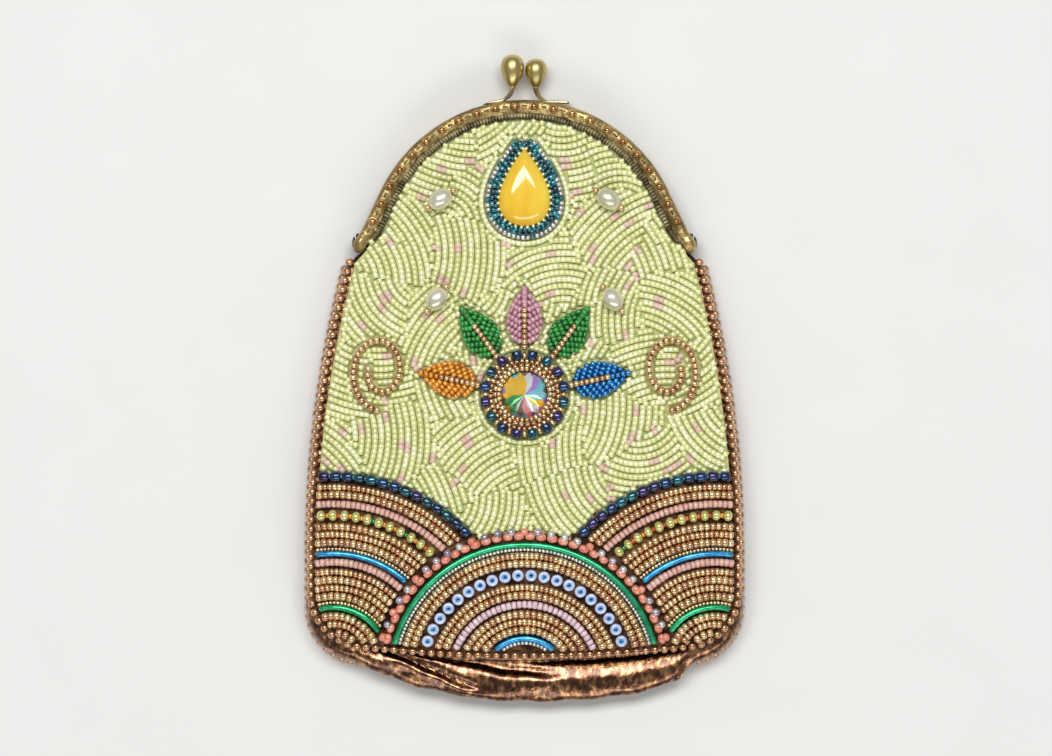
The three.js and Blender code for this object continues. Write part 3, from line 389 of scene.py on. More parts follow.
def loft(rings, loop=False):
    """Points and faces of a skin over rings of equally many points, with end caps unless it is a loop."""
    n = len(rings[0])
    points = [p for ring in rings for p in ring]
    faces = []
    for i in range(len(rings) if loop else len(rings) - 1):
        low, high = i * n, (i + 1) % len(rings) * n
        for j in range(n):
            k = (j + 1) % n
            faces.append((low + j, low + k, high + k, high + j))
    if not loop:
        faces += [tuple(range(n - 1, -1, -1)), tuple(len(points) - n + j for j in range(n))]
    return points, outward(points, faces)


def spokes(count, turn=0.0):
    """Cosine and sine of even steps round a circle."""
    angles = [2 * pi * (k + turn) / count for k in range(count)]
    return [(cos(a), sin(a)) for a in angles]


def unit(v):
    return v / np.linalg.norm(v)


def measured(line):
    """Length of a line of points, and a function from distances along it to places."""
    line = np.array(line, float)
    length = np.concatenate([[0], np.cumsum(np.linalg.norm(np.diff(line, axis=0), axis=1))])
    return length[-1], lambda at: np.stack([np.interp(at, length, c) for c in line.T], axis=-1)


def walk(line, pitch, loop=False, probe=0.2):
    """Places evenly spaced along a line of points, with the direction at each."""
    total, place = measured(line + line[:1] if loop else line)
    count = max(1, int(round(total / pitch)))
    step = total / count
    at = step / 2 + step * np.arange(count)
    along = place(at + probe) - place(at - probe)
    return place(at), along / np.linalg.norm(along, axis=1)[:, None]


def smooth_line(line, steps):
    """Catmull-Rom curve through points."""
    line = [np.array(p, float) for p in line]
    line = [2 * line[0] - line[1]] + line + [2 * line[-1] - line[-2]]
    out = []
    for i in range(1, len(line) - 2):
        a, b, c, d = line[i - 1:i + 3]
        for k in range(steps):
            u = k / steps
            out.append(0.5 * (2 * b + (c - a) * u + (2 * a - 5 * b + 4 * c - d) * u**2
                              + (3 * b - a - 3 * c + d) * u**3))
    return out + [line[-2]]


def tangent(line, i):
    """Step from the point before one of a line to the point after it."""
    return np.subtract(line[min(i + 1, len(line) - 1)], line[max(i - 1, 0)])


def turned(profile, sides):
    """Bead: a profile of (along, radius) turned about X, its ends joined through the hole."""
    return loft([[(x, r * c, r * s) for c, s in spokes(sides, 0.5)] for x, r in profile], True)


def torus(outer, inner, sides, around):
    mean, thick = (outer + inner) / 2, (outer - inner) / 2
    return loft([[((mean + thick * cb) * c, (mean + thick * cb) * s, 0.5 * sb) for cb, sb in spokes(around)]
                 for c, s in spokes(sides)], True)


SHAPES = {
    "seed": turned([(-0.5, 0.22), (-0.37, 0.43), (0, 0.5), (0.37, 0.43), (0.5, 0.22)], 8),
    "cut": turned([(-0.5, 0.3), (-0.42, 0.44), (0, 0.5), (0.42, 0.44), (0.5, 0.3)], 8),
    "round": turned([(-0.48, 0.14), (-0.42, 0.29), (-0.25, 0.44), (0, 0.5), (0.25, 0.44), (0.42, 0.29),
                     (0.48, 0.14)], 12),
    "bar": turned([(-0.5, 0.14), (-0.494, 0.445), (-0.41, 0.5), (0.41, 0.5), (0.494, 0.445), (0.5, 0.14)], 8),
    "drum": turned([(-0.5, 0.2), (-0.46, 0.42), (-0.34, 0.5), (0.34, 0.5), (0.46, 0.42), (0.5, 0.2)], 10),
    "ring": torus(0.5, 0.16, 16, 8),
}


class Beads:
    """Beads of one piece, each a turned shape put along a direction."""

    def __init__(self):
        self.parts = {}

    def add(self, shape, place, along, up, length, width, height, tone):
        along = unit(np.asarray(along, float))
        up = unit(np.asarray(up, float) - np.dot(up, along) * along)
        turn = np.stack([along * length, np.cross(up, along) * width, up * height], axis=1)
        self.parts.setdefault((shape, tone), []).append((turn, np.asarray(place, float)))

    def build(self, name, sharp=None):
        tones = sorted({tone for _, tone in self.parts})
        points, faces, index = [], [], []
        for (shape, tone), items in sorted(self.parts.items()):
            base, quads = (np.array(part) for part in SHAPES[shape])
            turns, places = (np.array(part) for part in zip(*items))
            first = len(points) + len(base) * np.arange(len(items))
            points += (np.einsum("nij,vj->nvi", turns, base) + places[:, None, :]).reshape(-1, 3).tolist()
            faces += (quads[None] + first[:, None, None]).reshape(-1, 4).tolist()
            index += [tones.index(tone)] * (len(quads) * len(items))
        return make(name, points, faces, [M[tone] for tone in tones], index, sharp=sharp)


def spread(size):
    return rng.uniform(-size, size)


def jitter(*sizes):
    return np.array([spread(size) for size in sizes])


def string(beads, line, shape, pitch, length, width, lift, tones, height=None, loop=False):
    """A row of beads along a line on the front."""
    for p, a in zip(*walk(line, pitch, loop)):
        up = normal_at(p[0], p[1])
        size = 1 + spread(0.05)
        lean = jitter(0.06, 0.06, 0.06)
        beads.add(shape, p + up * (lift + spread(0.04)), a + lean, up, length * size, width * size,
                  (height or width) * size, rng.choice(tones))


def spacers(beads, line, pitch, length, width, lift, tones):
    """Seeds between the large beads of a row."""
    places, along = walk(line, pitch)
    for p, q, a in zip(places, places[1:], along):
        m = (p + q) / 2
        up = normal_at(m[0], m[1])
        tone = rng.choice(tones) if len(tones) > 1 else tones[0]
        beads.add("seed", m + up * lift, a, up, length, width, width, tone)


# Frame: a pressed brass channel with a hammered rib, a toothed inner lip and ears for the hinge

LEVEL_RUN, FLARE, FLARE_RUN = 7.0, 0.7, 3.5
TOOTH, NOSE_STEPS, NOSE_TURN = 0.88, 8, radians(44)
EAR_BEVEL, NECK_ROWS = 0.15, (-0.2, 1.5, 3.0, FRAME_TAPER / 2)
RIB, RIB_STEPS, RIB_END = 1.6, 400, 13


def frame_place(s):
    """Point of the frame's outer line at a distance from the right hinge, with the way inwards."""
    hand = 1
    if s > FRAME_LENGTH / 2:
        s, hand = FRAME_LENGTH - s, -1
    if s < FRAME_LEG:
        c, d = cos(SPLAY), sin(SPLAY)
        x, y = HINGE_X - s * d + FLARE * (1 - ease(s / FLARE_RUN)) * c, HINGE_Y + s * c
        level = 1 - ease(s / LEVEL_RUN)
        in_x, in_y = mix(-c, -1 / c, level), mix(-d, 0, level)
    else:
        a = ARCH_END - (s - FRAME_LEG) / FRAME_RADIUS
        in_x, in_y = -sin(a), -cos(a)
        x, y = -FRAME_RADIUS * in_x, FRAME_CENTRE_Y - FRAME_RADIUS * in_y
    return hand * x, y, hand * in_x, in_y


def about_hinge(profile, sides):
    """Skin of a profile of (x, radius) turned about the hinge line."""
    return loft([[(x, HINGE_Y + r * c, PARTING_Z + r * s) for c, s in spokes(sides)] for x, r in profile])


def ear(start, end):
    start, end, small = min(start, end), max(start, end), EAR_RADIUS - EAR_BEVEL
    return about_hinge([(start, small), (start + EAR_BEVEL, EAR_RADIUS), (end - EAR_BEVEL, EAR_RADIUS),
                        (end, small)], 32)


def frame_half(name, side):
    rings = []
    steps = 4 * round(FRAME_LENGTH / TOOTH)
    nose = NOSE_STEPS if side > 0 else 0
    for i in range(-nose, steps + nose + 1):
        x, y, in_x, in_y = frame_place(FRAME_LENGTH * clamp(i / steps))
        low = PARTING_GAP / 2
        high = low + frame_depth(y)
        lip = high - FRAME_LIP_DROP
        tooth = 0.5 - 0.5 * cos(pi * i / 2)
        if side > 0:
            low = max(low, sqrt(max(0.0, (EAR_RADIUS + EAR_GAP) ** 2 - (y - HINGE_Y) ** 2)))
        section = [  # distance inwards, height over the parting plane
            (0, low), (0, max(high - 1.3, low + 0.05)), (0.16, high - 0.68), (0.6, high - 0.24),
            (1.25, high - 0.04), (1.9, high - 0.04), (2.55, high - 0.24), (3.0, high - 0.58), (3.2, lip - 0.12),
            (3.4, lip - 0.05), (3.7, lip + 0.05 * tooth), (4.35, lip + 0.24 * tooth),
            (4.75 + 0.24 * tooth, lip - 0.12 + 0.16 * tooth), (4.69 + 0.24 * tooth, lip - 0.7),
            (FRAME_WALL, lip - FRAME_WALL), (FRAME_WALL, max(low, 0.15)),
        ]
        past = max(-i, i - steps, 0) / NOSE_STEPS
        turn = NOSE_TURN * past
        ring = []
        for k, (r, h) in enumerate(section):
            if 1 < k < 8:
                spot = Vector((x * 0.7, y * 0.7, side * 9 + r * 0.5))
                h += 0.18 * noise.noise(spot) + 0.08 * noise.noise(spot * 2.3) - 0.12
            if past:
                r = min(r, mix(3.2, 2.7, past))
                h = max(h * (1 - 0.1 * past), low + 0.02)
            ring.append((x + in_x * r, y + in_y * r - h * sin(turn), PARTING_Z + side * h * cos(turn)))
        rings.append(ring)
    points, faces = loft(rings)
    n = len(section)
    # Faces of the inner lip take the dark brass, painted shade inside the mouth; faces on the tooth crests take the
    # lighter tick brass, painted highlights.
    index = [0] * len(faces)
    for f in range((len(rings) - 1) * n):
        if 8 <= f % n <= 14:
            index[f] = 2 if f % n in (9, 10, 11) and (f // n - nose) % 4 in (1, 2) else 1
    near = HINGE_X - FRAME_WALL - EAR_GAP if side > 0 else HINGE_X
    far = near - FRAME_WALL
    for hand in (1, -1):
        extra = [ear(hand * near, hand * far)]
        if side > 0:
            low, high = PARTING_Z + PARTING_GAP / 2, PARTING_Z + lip_height(HINGE_Y) + 0.3
            rings = []
            for up in NECK_ROWS:
                slant = max(0.0, up) * tan(SPLAY)
                x0, x1, y = hand * (near - slant), hand * (far - slant), HINGE_Y + up
                rings.append([(x0, y, low), (x0, y, high), (x1, y, high), (x1, y, low)])
            extra.append(loft(rings))
        for more, skin in extra:
            faces += [tuple(len(points) + v for v in f) for f in skin]
            points += more
            index += [1] * len(skin)
    return make(name, points, faces, [M["brass"], M["brass_dark"], M["brass_tick"]], index, sharp=42)


put(frame_half("front_frame_brass", 1), FLAP, "antique_brass", "front_frame")
put(frame_half("rear_frame_brass", -1), BAG, "antique_brass", "rear_frame")

rib = []
for i in range(RIB_STEPS):
    x, y, in_x, in_y = frame_place(FRAME_LENGTH * i / (RIB_STEPS - 1))
    rib.append((x + in_x * RIB, y + in_y * RIB, PARTING_Z + PARTING_GAP / 2 + frame_depth(y)))
beads = Beads()
count = round((FRAME_LENGTH - 2 * FRAME_BEAD_MARGIN) / FRAME_BEAD_PITCH)
# Each bead sits in a brass ring; halfway to the next, a flat sliver of darker tick brass is a painted shadow of a
# thread hole.
for p, a in zip(*walk(rib[RIB_END:-RIB_END], FRAME_LENGTH / (count + 1))):
    for shape, ahead, lift, length, width, height, tone in (
            ("round", 0, 0.36, 1.75, 2.05, 2.1, "bronze_dark"), ("ring", 0, -0.12, 2.5, 2.5, 0.5, "brass"),
            ("round", FRAME_BEAD_PITCH / 2, -0.14, 1.5, 0.5, 0.5, "brass_tick")):
        beads.add(shape, p + a * ahead + np.array([0, 0, lift]), a, UP, length, width, height, tone)
put(beads.build("frame_beads"), FLAP, "bronze_beads")

inner, outer = HINGE_X - 2 * FRAME_WALL - EAR_GAP - RIVET_CLEARANCE, HINGE_X + RIVET_CLEARANCE
RIVET = [  # x, radius
    (inner - RIVET_HEAD, 0.6), (inner - RIVET_HEAD, 1.2), (inner - RIVET_HEAD + 0.25, RIVET_HEAD_RADIUS),
    (inner, RIVET_HEAD_RADIUS), (inner, RIVET_RADIUS), (outer, RIVET_RADIUS), (outer, RIVET_HEAD_RADIUS),
    (outer + 0.25, RIVET_HEAD_RADIUS), (outer + 0.55, 1.15), (outer + RIVET_HEAD, 0.5)]
for hand, name in ((1, "right"), (-1, "left")):
    skin = about_hinge([(hand * x, r) for x, r in RIVET], 24)
    put(solid(f"rivet_{name}", skin, "brass_dark", 50), BAG, "antique_brass", f"hinge_rivet_{name}")

# Clasp

BALL_PROFILE = [  # shares of the radius and the length
    (0.0, 0.0), (0.25, 0.0), (0.29, 0.06), (0.52, 0.15), (0.76, 0.29), (0.94, 0.46), (1.0, 0.6),
    (0.96, 0.75), (0.78, 0.89), (0.42, 0.975), (0.0, 1.0)]
WIRE = 1.5


def clasp(side, ball_x, radius, length, label, body):
    """A ball, and its stem that turns from a flat strip on the arch to a round wire."""
    y0, z0 = FRAME_TOP + BALL_RISE, PARTING_Z + side * BALL_LEAN
    rings = []
    for r, h, _ in smooth_line([(r, h, 0) for r, h in BALL_PROFILE], 4):
        r = max(0.02, r) * radius
        rings.append([(ball_x + r * c, y0 + h * length, z0 + r * s) for c, s in spokes(36)])
    put(solid(f"{label}_ball", loft(rings), "brass_bright"), body, "polished_brass", f"{label}_clasp_ball")
    hand = copysign(1, ball_x)
    reach = FRAME_RADIUS + STEM_THICK / 2 - 0.15
    foot_z = PARTING_Z + side * (PARTING_GAP / 2 + FRAME_DEPTH / 2)
    proud, blunt = (0.8, 0.4) if side < 0 else (0.0, 0.0)
    near = abs(ball_x) + STEM_TURN

    def on_arch(x, up):
        return (hand * x, FRAME_CENTRE_Y + sqrt(reach * reach - x * x) + up * proud, foot_z)

    line = smooth_line([
        on_arch(STEM_FOOT + proud, 1.2), on_arch(mix(STEM_FOOT, near, 0.5), 0.4), on_arch(near, 0.0),
        (ball_x + hand * 0.7, FRAME_TOP + SEAT + STEM_THICK / 2 + 0.6, mix(foot_z, z0, 0.4)),
        (ball_x, y0 + 0.3, z0),
    ], 10)
    rings = []
    for i, p in enumerate(line):
        along = tangent(line, i)
        flat = Vector((-along[1], along[0])).normalized()
        u = i / (len(line) - 1)
        wire = ease((u - 0.5) / 0.5)
        thick = mix(STEM_THICK * ease(0.25 + blunt + 2 * u), WIRE, wire) / 2
        wide = mix(STEM_WIDTH * ease(0.35 + blunt + u * 4), WIRE, wire) / 2
        power = mix(0.35, 1.0, wire)
        ring = []
        for c, s in spokes(16):
            off = thick * copysign(abs(c) ** power, c)
            ring.append((p[0] + flat[0] * off, p[1] + flat[1] * off,
                         p[2] + wide * copysign(abs(s) ** power, s)))
        rings.append(ring)
    put(solid(f"{label}_stem", loft(rings), "brass_worn", 60), body, "polished_brass", f"{label}_clasp_stem")


clasp(1, -(BALL_RADIUS + SEAT / 2), BALL_RADIUS, BALL_LENGTH, "front", FLAP)
clasp(-1, REAR_BALL_RADIUS + SEAT / 2, REAR_BALL_RADIUS, REAR_BALL_LENGTH, "rear", BAG)

# Leather

ARCH_ROWS, FOLD_ROWS, BAG_ROWS = 26, 8, 62
ROWS = ARCH_ROWS + FOLD_ROWS + BAG_ROWS
ARCH_STOP, CHANNEL_INSET = radians(50), FRAME_WALL + SEAT + 0.4


def panel_place(line, low, t, v):
    """Grid from the top of the arch past the hinge to the bottom of the bag."""
    row = v * ROWS
    t = sin(t * pi / 2)
    if row < ARCH_ROWS:
        u = 1 - row / ARCH_ROWS
        radius = FRAME_RADIUS - CHANNEL_INSET
        y = mix(HINGE_Y, FRAME_CENTRE_Y + radius * cos(ARCH_STOP), u)
        bow = radius * (1 - cos(ARCH_STOP)) * u**1.5
        return t * arch_half(y, CHANNEL_INSET), y + bow * (1 - t * t)
    if row < ARCH_ROWS + FOLD_ROWS:
        u = (row - ARCH_ROWS) / FOLD_ROWS
        return t * mix(PANEL_HINGE_HALF, line.half_at(low), ease(u)), mix(HINGE_Y, low, u)
    u = (row - ARCH_ROWS - FOLD_ROWS) / BAG_ROWS
    y = mix(low, line.bottom, sin(u * pi / 2))
    return t * line.half_at(y), y - line.bow_at(t) * u**3


def sheet(name, line, low, top, columns, tones, pick):
    """Closed panel under the face top; pick gives the number of a face's tone."""
    upper = []
    for j in range(ROWS + 1):
        for i in range(columns + 1):
            x, y = panel_place(line, low, 2 * i / columns - 1, j / ROWS)
            upper.append((x, y, top(x, y)))
    n = len(upper)
    faces, index = [], []

    def at(i, j):
        return j * (columns + 1) + i

    for j in range(ROWS):
        for i in range(columns):
            q = (at(i, j), at(i, j + 1), at(i + 1, j + 1), at(i + 1, j))
            x, y = (sum(upper[v][axis] for v in q) / 4 for axis in (0, 1))
            faces += [q, tuple(n + v for v in reversed(q))]
            index += [pick(x, y, True), pick(x, y, False)]
    loop = [at(i, 0) for i in range(columns)] + [at(columns, j) for j in range(ROWS)]
    loop += [at(i, ROWS) for i in range(columns, 0, -1)] + [at(0, j) for j in range(ROWS, 0, -1)]
    faces += [(a, b, n + b, n + a) for a, b in zip(loop, loop[1:] + loop[:1])]
    index += [0] * len(loop)
    points = upper + [(x, y, z - PANEL) for x, y, z in upper]
    return make(name, points, outward(points, faces), [M[tone] for tone in tones], index, sharp=50)


def ground_room(x, y):
    """How far a place lies inside the edge of the bead ground."""
    if y > HINGE_Y:
        away = hypot(x, y - FRAME_CENTRE_Y)
        room = arch_half(y, FRAME_FACE) - abs(x)
        return min(FRAME_RADIUS - FRAME_FACE - away, room) if y > TANGENT_Y - 4 else room * cos(SPLAY)
    if y > FOLD_BOTTOM:
        half = mix(PANEL_HINGE_HALF - 0.3, GROUND_LINE.half_at(FOLD_BOTTOM), ease((HINGE_Y - y) / FOLD_WIDTH))
        return half - abs(x)
    fan_top = max(fan_y + sqrt(max(0.0, r * r - (x - fan_x) ** 2)) for _, fan_x, fan_y, r in FANS)
    return min(GROUND_LINE.half_at(y) - abs(x), (y - fan_top) * 0.85)


# Top faces outside the bead ground take the dark copper, painted shade between the rows; the rest take the backing,
# and the underside the lining.
front_leather = sheet(
    "front_leather", PANEL_LINE, FOLD_BOTTOM - SEAT, front_face, 84, ("copper", "backing", "lining"),
    lambda x, y, top: (1 if y > HINGE_Y or ground_room(x, y) > -0.6 else 0) if top else 2)
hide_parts("front_flap", "front_panel", "front_fold", "flap_ground", "panel_ground")
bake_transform(front_leather)

back_leather = sheet("back_leather", BACK_PANEL_LINE, BAG_TOP, lambda x, y: back_face(x, y) + PANEL, 60,
                     ("copper_soft", "lining"), lambda x, y, top: 1 if top else 0)
put(back_leather, BAG, "copper_leather", "back_panel")

STITCH_MARGIN, STITCH_INSET, STITCH_PITCH, STITCH_LIFT = 7.0, 3.2, 3.5, 0.12


def stitches(name, body, side, height):
    """Bars of thread inside the mouth, which sew a panel's edge to its frame half."""
    route = []
    for i in range(201):
        x, y, in_x, in_y = frame_place(mix(STITCH_MARGIN, FRAME_LENGTH - STITCH_MARGIN, i / 200))
        x, y = x + in_x * STITCH_INSET, y + in_y * STITCH_INSET
        route.append((x, y, height(x, y) + side * STITCH_LIFT))
    beads = Beads()
    for p, a in zip(*walk(route, STITCH_PITCH)):
        beads.add("round", p, a, (0, 0, side), 2.7, 0.75, 0.6, "thread")
    put(beads.build(name), body, "copper_leather")


stitches("flap_stitches", FLAP, -1, lambda x, y: front_face(x, y) - PANEL)
stitches("back_stitches", BAG, 1, lambda x, y: back_face(x, y) + PANEL)

ROLL_PROFILE = [  # shares of the bulge when flat and when full, share of the drop, dip when full
    (0.3, 0.26, 0.1, 2.2), (0.5, 0.42, 0.15, 1.3), (0.68, 0.62, 0.2, 0.4), (0.82, 0.8, 0.32, 0.2),
    (0.94, 0.94, 0.6, 0.0)]
# Long folds of the roll: X where each starts and ends, share of the profile there, depth
ROLL_FOLDS = [(-40, -8, 0.2, 0.56, 1.0), (-30, 12, 0.2, 0.38, 0.6), (47, 36, 0.18, 0.74, 1.2)]
ROLL_LEFT, ROLL_RIGHT = 53.0, 45.0


def roll_depth(x):
    """How far the bottom roll hangs: a long slope on the left and a blunt end on the right."""
    if x < 0:
        return GUSSET_BOTTOM * (1 - (x / ROLL_LEFT) ** 2)
    t = x / ROLL_RIGHT
    return GUSSET_BOTTOM * (1 - 0.22 * t**2 - 0.78 * t**8)


def roll_swell(x, y, z, u, puff):
    """How far folds and crinkles lift the leather at a place, a share u of the way along the profile."""
    crease = noise.noise(Vector((x * 0.1, y * 0.5 + x * 0.06, z * 0.42)))
    fine = noise.noise(Vector((x * 0.4 + 9, y * 0.8, z * 0.9)))
    ridge = -abs(noise.noise(Vector((x * 0.05, y * 0.34 + x * 0.13, z * 0.3 + 4))))
    drift = 0.014 * x + 1.1 * noise.noise(Vector((x * 0.04, 7.0, 0.0)))
    fold = sin(2 * pi * (2.6 * u + drift))
    calm = mix(1.0, 0.35, ease((x - 2) / 12))
    swell = sin(pi * u) * calm * (
        0.14 * crease + 0.07 * fine + 0.2 * ridge + mix(0.06, 0.13, puff) * fold)
    for start, end, high, deep, depth in ROLL_FOLDS:
        part = (x - start) / (end - start)
        if 0 < part < 1:
            off = u - mix(high, deep, part)
            here = depth * puff * ease(4 * part) * ease(4 * (1 - part))
            swell += here * (0.45 * exp(-((off - 0.075) / 0.05) ** 2) - exp(-(off / 0.035) ** 2))
    return swell


def gusset():
    """Leather strip from rim to rim, bulging out at the bottom, with folds and crinkles."""
    front, back = (line.rim(BAG_TOP, 60, 24, 60) for line in (FRONT_LINE, REAR_LINE))
    half = GUSSET / 2
    low, over = PANEL + SEAT + half, 2 * EDGE_BEAD + 2 * SEAT + half
    tuck = EDGE_BEAD + 3 * SEAT + half
    rings = []
    for i, (fx, fy) in enumerate(front):
        along = Vector(tangent(front, i)).normalized()
        out = Vector((-along[1], along[0]))
        rear = Vector((back[i][0] - fx, back[i][1] - fy)).dot(out)
        wave = 1 + cos(GUSSET_PLEATS * 2 * pi * fx / BODY_HALF)
        low_part = ease(-1.4 * out[1])
        bulge = max(rear + GUSSET_SIDE, (roll_depth(fx) - GUSSET_PLEAT / 4 * wave) * low_part)
        top = edge_height(fy) - PANEL - SEAT - half
        under = edge_height(fy) - PANEL / 2 - EDGE_BEAD - SEAT - half
        middle = (under + over) / 2
        puff = low_part * ease((bulge - 3) / 6)
        line = smooth_line(
            [(-tuck - half, top, 0), (-tuck + half, min(top, under), 0)]
            + [(mix(-tuck, bulge, mix(flat, full, puff)), mix(under, middle, drop) - dip * puff, 0)
               for flat, full, drop, dip in ROLL_PROFILE]
            + [(bulge, middle, 0), (mix(rear - tuck, bulge, 0.85), mix(over, middle, 0.3), 0),
               (rear - tuck + half, max(low, over), 0), (rear - tuck - half, low, 0)], 4)
        outer, inner = [], []
        for k, (r, z, _) in enumerate(line):
            dr, dz, _ = tangent(line, k)
            run = hypot(dr, dz) or 1.0
            nr, nz = -dz / run, dr / run
            swell = roll_swell(fx + out[0] * r, fy + out[1] * r, z, k / (len(line) - 1), puff)
            for skin, s in ((outer, half + swell), (inner, swell - half)):
                skin.append((fx + out[0] * (r + nr * s), fy + out[1] * (r + nr * s), z + nz * s))
        ring = np.array(outer + inner[::-1])
        close = crown(min(i, len(front) - 1 - i) / 5)
        rings.append(mix(np.mean(ring, axis=0), ring, mix(0.55, 1.0, close)).tolist())
    return loft(rings)


gusset_leather = solid("gusset_leather", gusset(), "copper_roll", 60)
put(gusset_leather, BAG, "copper_leather", "gusset")

EDGE_PITCH, EDGE_LENGTH, EDGE_WIDTH, EDGE_LEAN = 2.33, 2.0, 2.3, 0.2
EDGE_TONES = ["bronze_edge", "bronze_deep"] * 2


def edging(name, line, height, node, start):
    beads = Beads()
    route = [(x, y, height(y)) for x, y in line.rim(start, 120, 40, 120)]
    for p, a in zip(*walk(route, EDGE_PITCH)):
        lean = jitter(0.12, 0.12, 0.12)
        size = 1 + spread(0.04)
        beads.add("round", p, a + lean, (-a[1] * EDGE_LEAN, a[0] * EDGE_LEAN, 1), EDGE_LENGTH * size,
                  EDGE_WIDTH * size, EDGE_WIDTH * size, rng.choice(EDGE_TONES))
    put(beads.build(name), BAG, "bronze_beads", node)


edging("front_edging_beads", FRONT_LINE, lambda y: edge_height(y) - PANEL / 2, "front_edging", 30.4)
edging("rear_edging_beads", REAR_LINE, lambda y: EDGE_BEAD + SEAT / 2, "rear_edging", BAG_TOP - 0.6)

# Stripes of the three fans

# Bands from the rim inwards: kind, rows, width of a row
SIDE_BANDS = [
    ("iris", 1, 3.0), ("bronze", 2, 2.1), ("pink", 1, 2.4), ("lime", 1, 3.2), ("bronze_middle", 3, 2.1),
    ("blue", 1, 2.6), ("pink_inner", 1, 2.4), ("bronze_inner", 4, 2.1), ("green", 1, 2.6), ("", 3, 2.1)]
MIDDLE_BANDS = [
    ("coral", 1, 3.0), ("green", 1, 2.6), ("bronze", 2, 2.1), ("sky", 1, 3.6), ("bronze_middle", 2, 2.1),
    ("lilac", 1, 2.4), ("bronze_inner", 3, 2.1), ("blue", 1, 2.6)]
# Strings of a row: shift of the radius, shape, pitch, length, width, lift, tones
STRINGS = {
    "wide": [(0, "cut", 1.5, 1.47, 2.2, 0.95, BRONZES)],
    "narrow": [(0, "cut", 1.22, 1.2, 1.95, 0.85, BRONZES)],
    "pink": [(0, "cut", 1.25, 1.24, 2.0, 0.9, ["pink"])],
    "lilac": [(0, "cut", 1.3, 1.29, 2.0, 0.9, ["lilac"])],
    "iris": [(0, "drum", 3.05, 2.5, 2.75, 1.25, ["iris", "iris", "iris_teal", "iris_violet"])],
    "lime": [(0, "round", 3.0, 2.3, 2.85, 1.3, ["olive"])],
    "side_cord": [(0.8, "seed", 0.95, 0.92, 0.98, 0.5, ["bronze_gold", "bronze"])],
    "middle_cord": [(-0.9, "seed", 0.95, 0.92, 0.98, 0.5, ["silver"])],
    "coral": [(-0.35, "round", 2.75, 2.7, 2.1, 0.95, ["coral"]),
              (0.75, "round", 3.4, 2.1, 2.1, 1.35, ["smoke", "smoke", "coral", "silver"])],
}
# Seeds between the beads of a row: pitch, length, width, lift, tones
SPACERS = {"iris": (3.05, 0.9, 1.5, 1.3, ["iris_teal"]), "lime": (3.0, 1.0, 1.45, 1.05, ["red", "orange", "green"])}
SKY_PITCH, SKY_WIDTH, SKY_LIFT = 3.2, 3.05, 0.75
CORD_WIDTH, CORD_LIFT = 1.6, 0.75
LEAST_ARC = 12


def in_fan(fan_x, x, y):
    line = PANEL_LINE
    t = clamp(abs(x) / (line.half - line.corner))
    if abs(x) > line.half_at(max(y, line.bottom)) or y < line.bottom - line.bow_at(t):
        return False
    apart = hypot(x, y - MIDDLE_FAN_Y) - MIDDLE_FAN
    return fan_x == 0 or (x * copysign(1, fan_x) > 0.6 and apart > 0.7)


def arc_line(fan_x, fan_y, radius):
    """The longest stretch of a circle that lies inside a fan."""
    best, run = [], []
    for k in range(1501):
        a = radians(-60 + 0.2 * k)
        x, y = fan_x + radius * cos(a), fan_y + radius * sin(a)
        if in_fan(fan_x, x, y):
            run.append((x, y, front_face(x, y) + STRIPE_SEAT))
        else:
            best = run if len(run) > len(best) else best
            run = []
    return best if len(best) > len(run) else run


def stripe(beads, family, fan_x, fan_y, radius, number):
    """One row of a band."""
    line = arc_line(fan_x, fan_y, radius)
    if len(line) < LEAST_ARC:
        return
    if family in ("", "bronze"):
        family = "narrow" if number % 2 else "wide"
    elif family in ("blue", "green"):
        family = "side_cord" if fan_x else "middle_cord"
    for shift, *row in STRINGS.get(family, ()):
        shifted = arc_line(fan_x, fan_y, radius + shift)
        if len(shifted) >= LEAST_ARC:
            string(beads, shifted, *row)
    if family in SPACERS:
        spacers(beads, line, *SPACERS[family])
    if family == "sky":
        for p, a in zip(*walk(line, SKY_PITCH)):
            up = normal_at(p[0], p[1])
            beads.add("ring", p + up * SKY_LIFT, a, up, SKY_WIDTH, SKY_WIDTH, 1.25, "sky")
            beads.add("seed", p + up * SKY_LIFT, up, a, 1.1, 1.35, 1.35, "blue")


def cord(line):
    """Skin of a smooth cord laid along a line on the front, its ends rounded."""
    total, place = measured(line)
    half = CORD_WIDTH / 2
    ends = [half * (1 - cos(pi / 2 * k / 5)) for k in range(1, 6)]
    between = list(np.linspace(half, total - half, int(total / 0.7))[1:-1])
    rings = []
    for d in ends + between + [total - e for e in reversed(ends)]:
        centre = place(d)
        along = unit(place(d + 0.3) - place(d - 0.3))
        up = normal_at(centre[0], centre[1])
        up = unit(up - np.dot(up, along) * along)
        side = np.cross(up, along)
        taper = sqrt(1 - (1 - clamp(min(d, total - d) / half)) ** 2)
        r = half * taper * (1 + 0.05 * noise.noise(Vector(centre) * 0.45))
        rings.append([tuple(centre + up * CORD_LIFT + r * (side * c + up * s)) for c, s in spokes(12)])
    return loft(rings)


def fan(name, fan_x, fan_y, outer):
    for kind, rows, width in SIDE_BANDS if fan_x else MIDDLE_BANDS:
        inner = outer - rows * width + STRIPE_GAP
        family = kind.split("_")[0]
        slot = {"": "bronze", "sky": "periwinkle"}.get(family, family) + "_beads"
        beads = Beads()
        for i in range(rows):
            stripe(beads, family, fan_x, fan_y, inner + (i + 0.5) * ((outer - inner) / rows), i)
        nodes = [f"{name}_{kind}"] if kind else []
        if kind in ("blue", "green"):
            skin = cord(arc_line(fan_x, fan_y, (inner + outer) / 2 + (-0.35 if fan_x else 0.3)))
            put(solid(f"{name}_{kind}_cord", skin, kind + "_cord"), BAG, slot, *nodes)
            nodes = []
        if beads.parts:
            put(beads.build(f"{name}_{kind or 'heart'}_beads"), BAG, slot, *nodes)
        outer -= rows * width


for row in FANS:
    fan(*row)

# Stones, each with its ring of beads

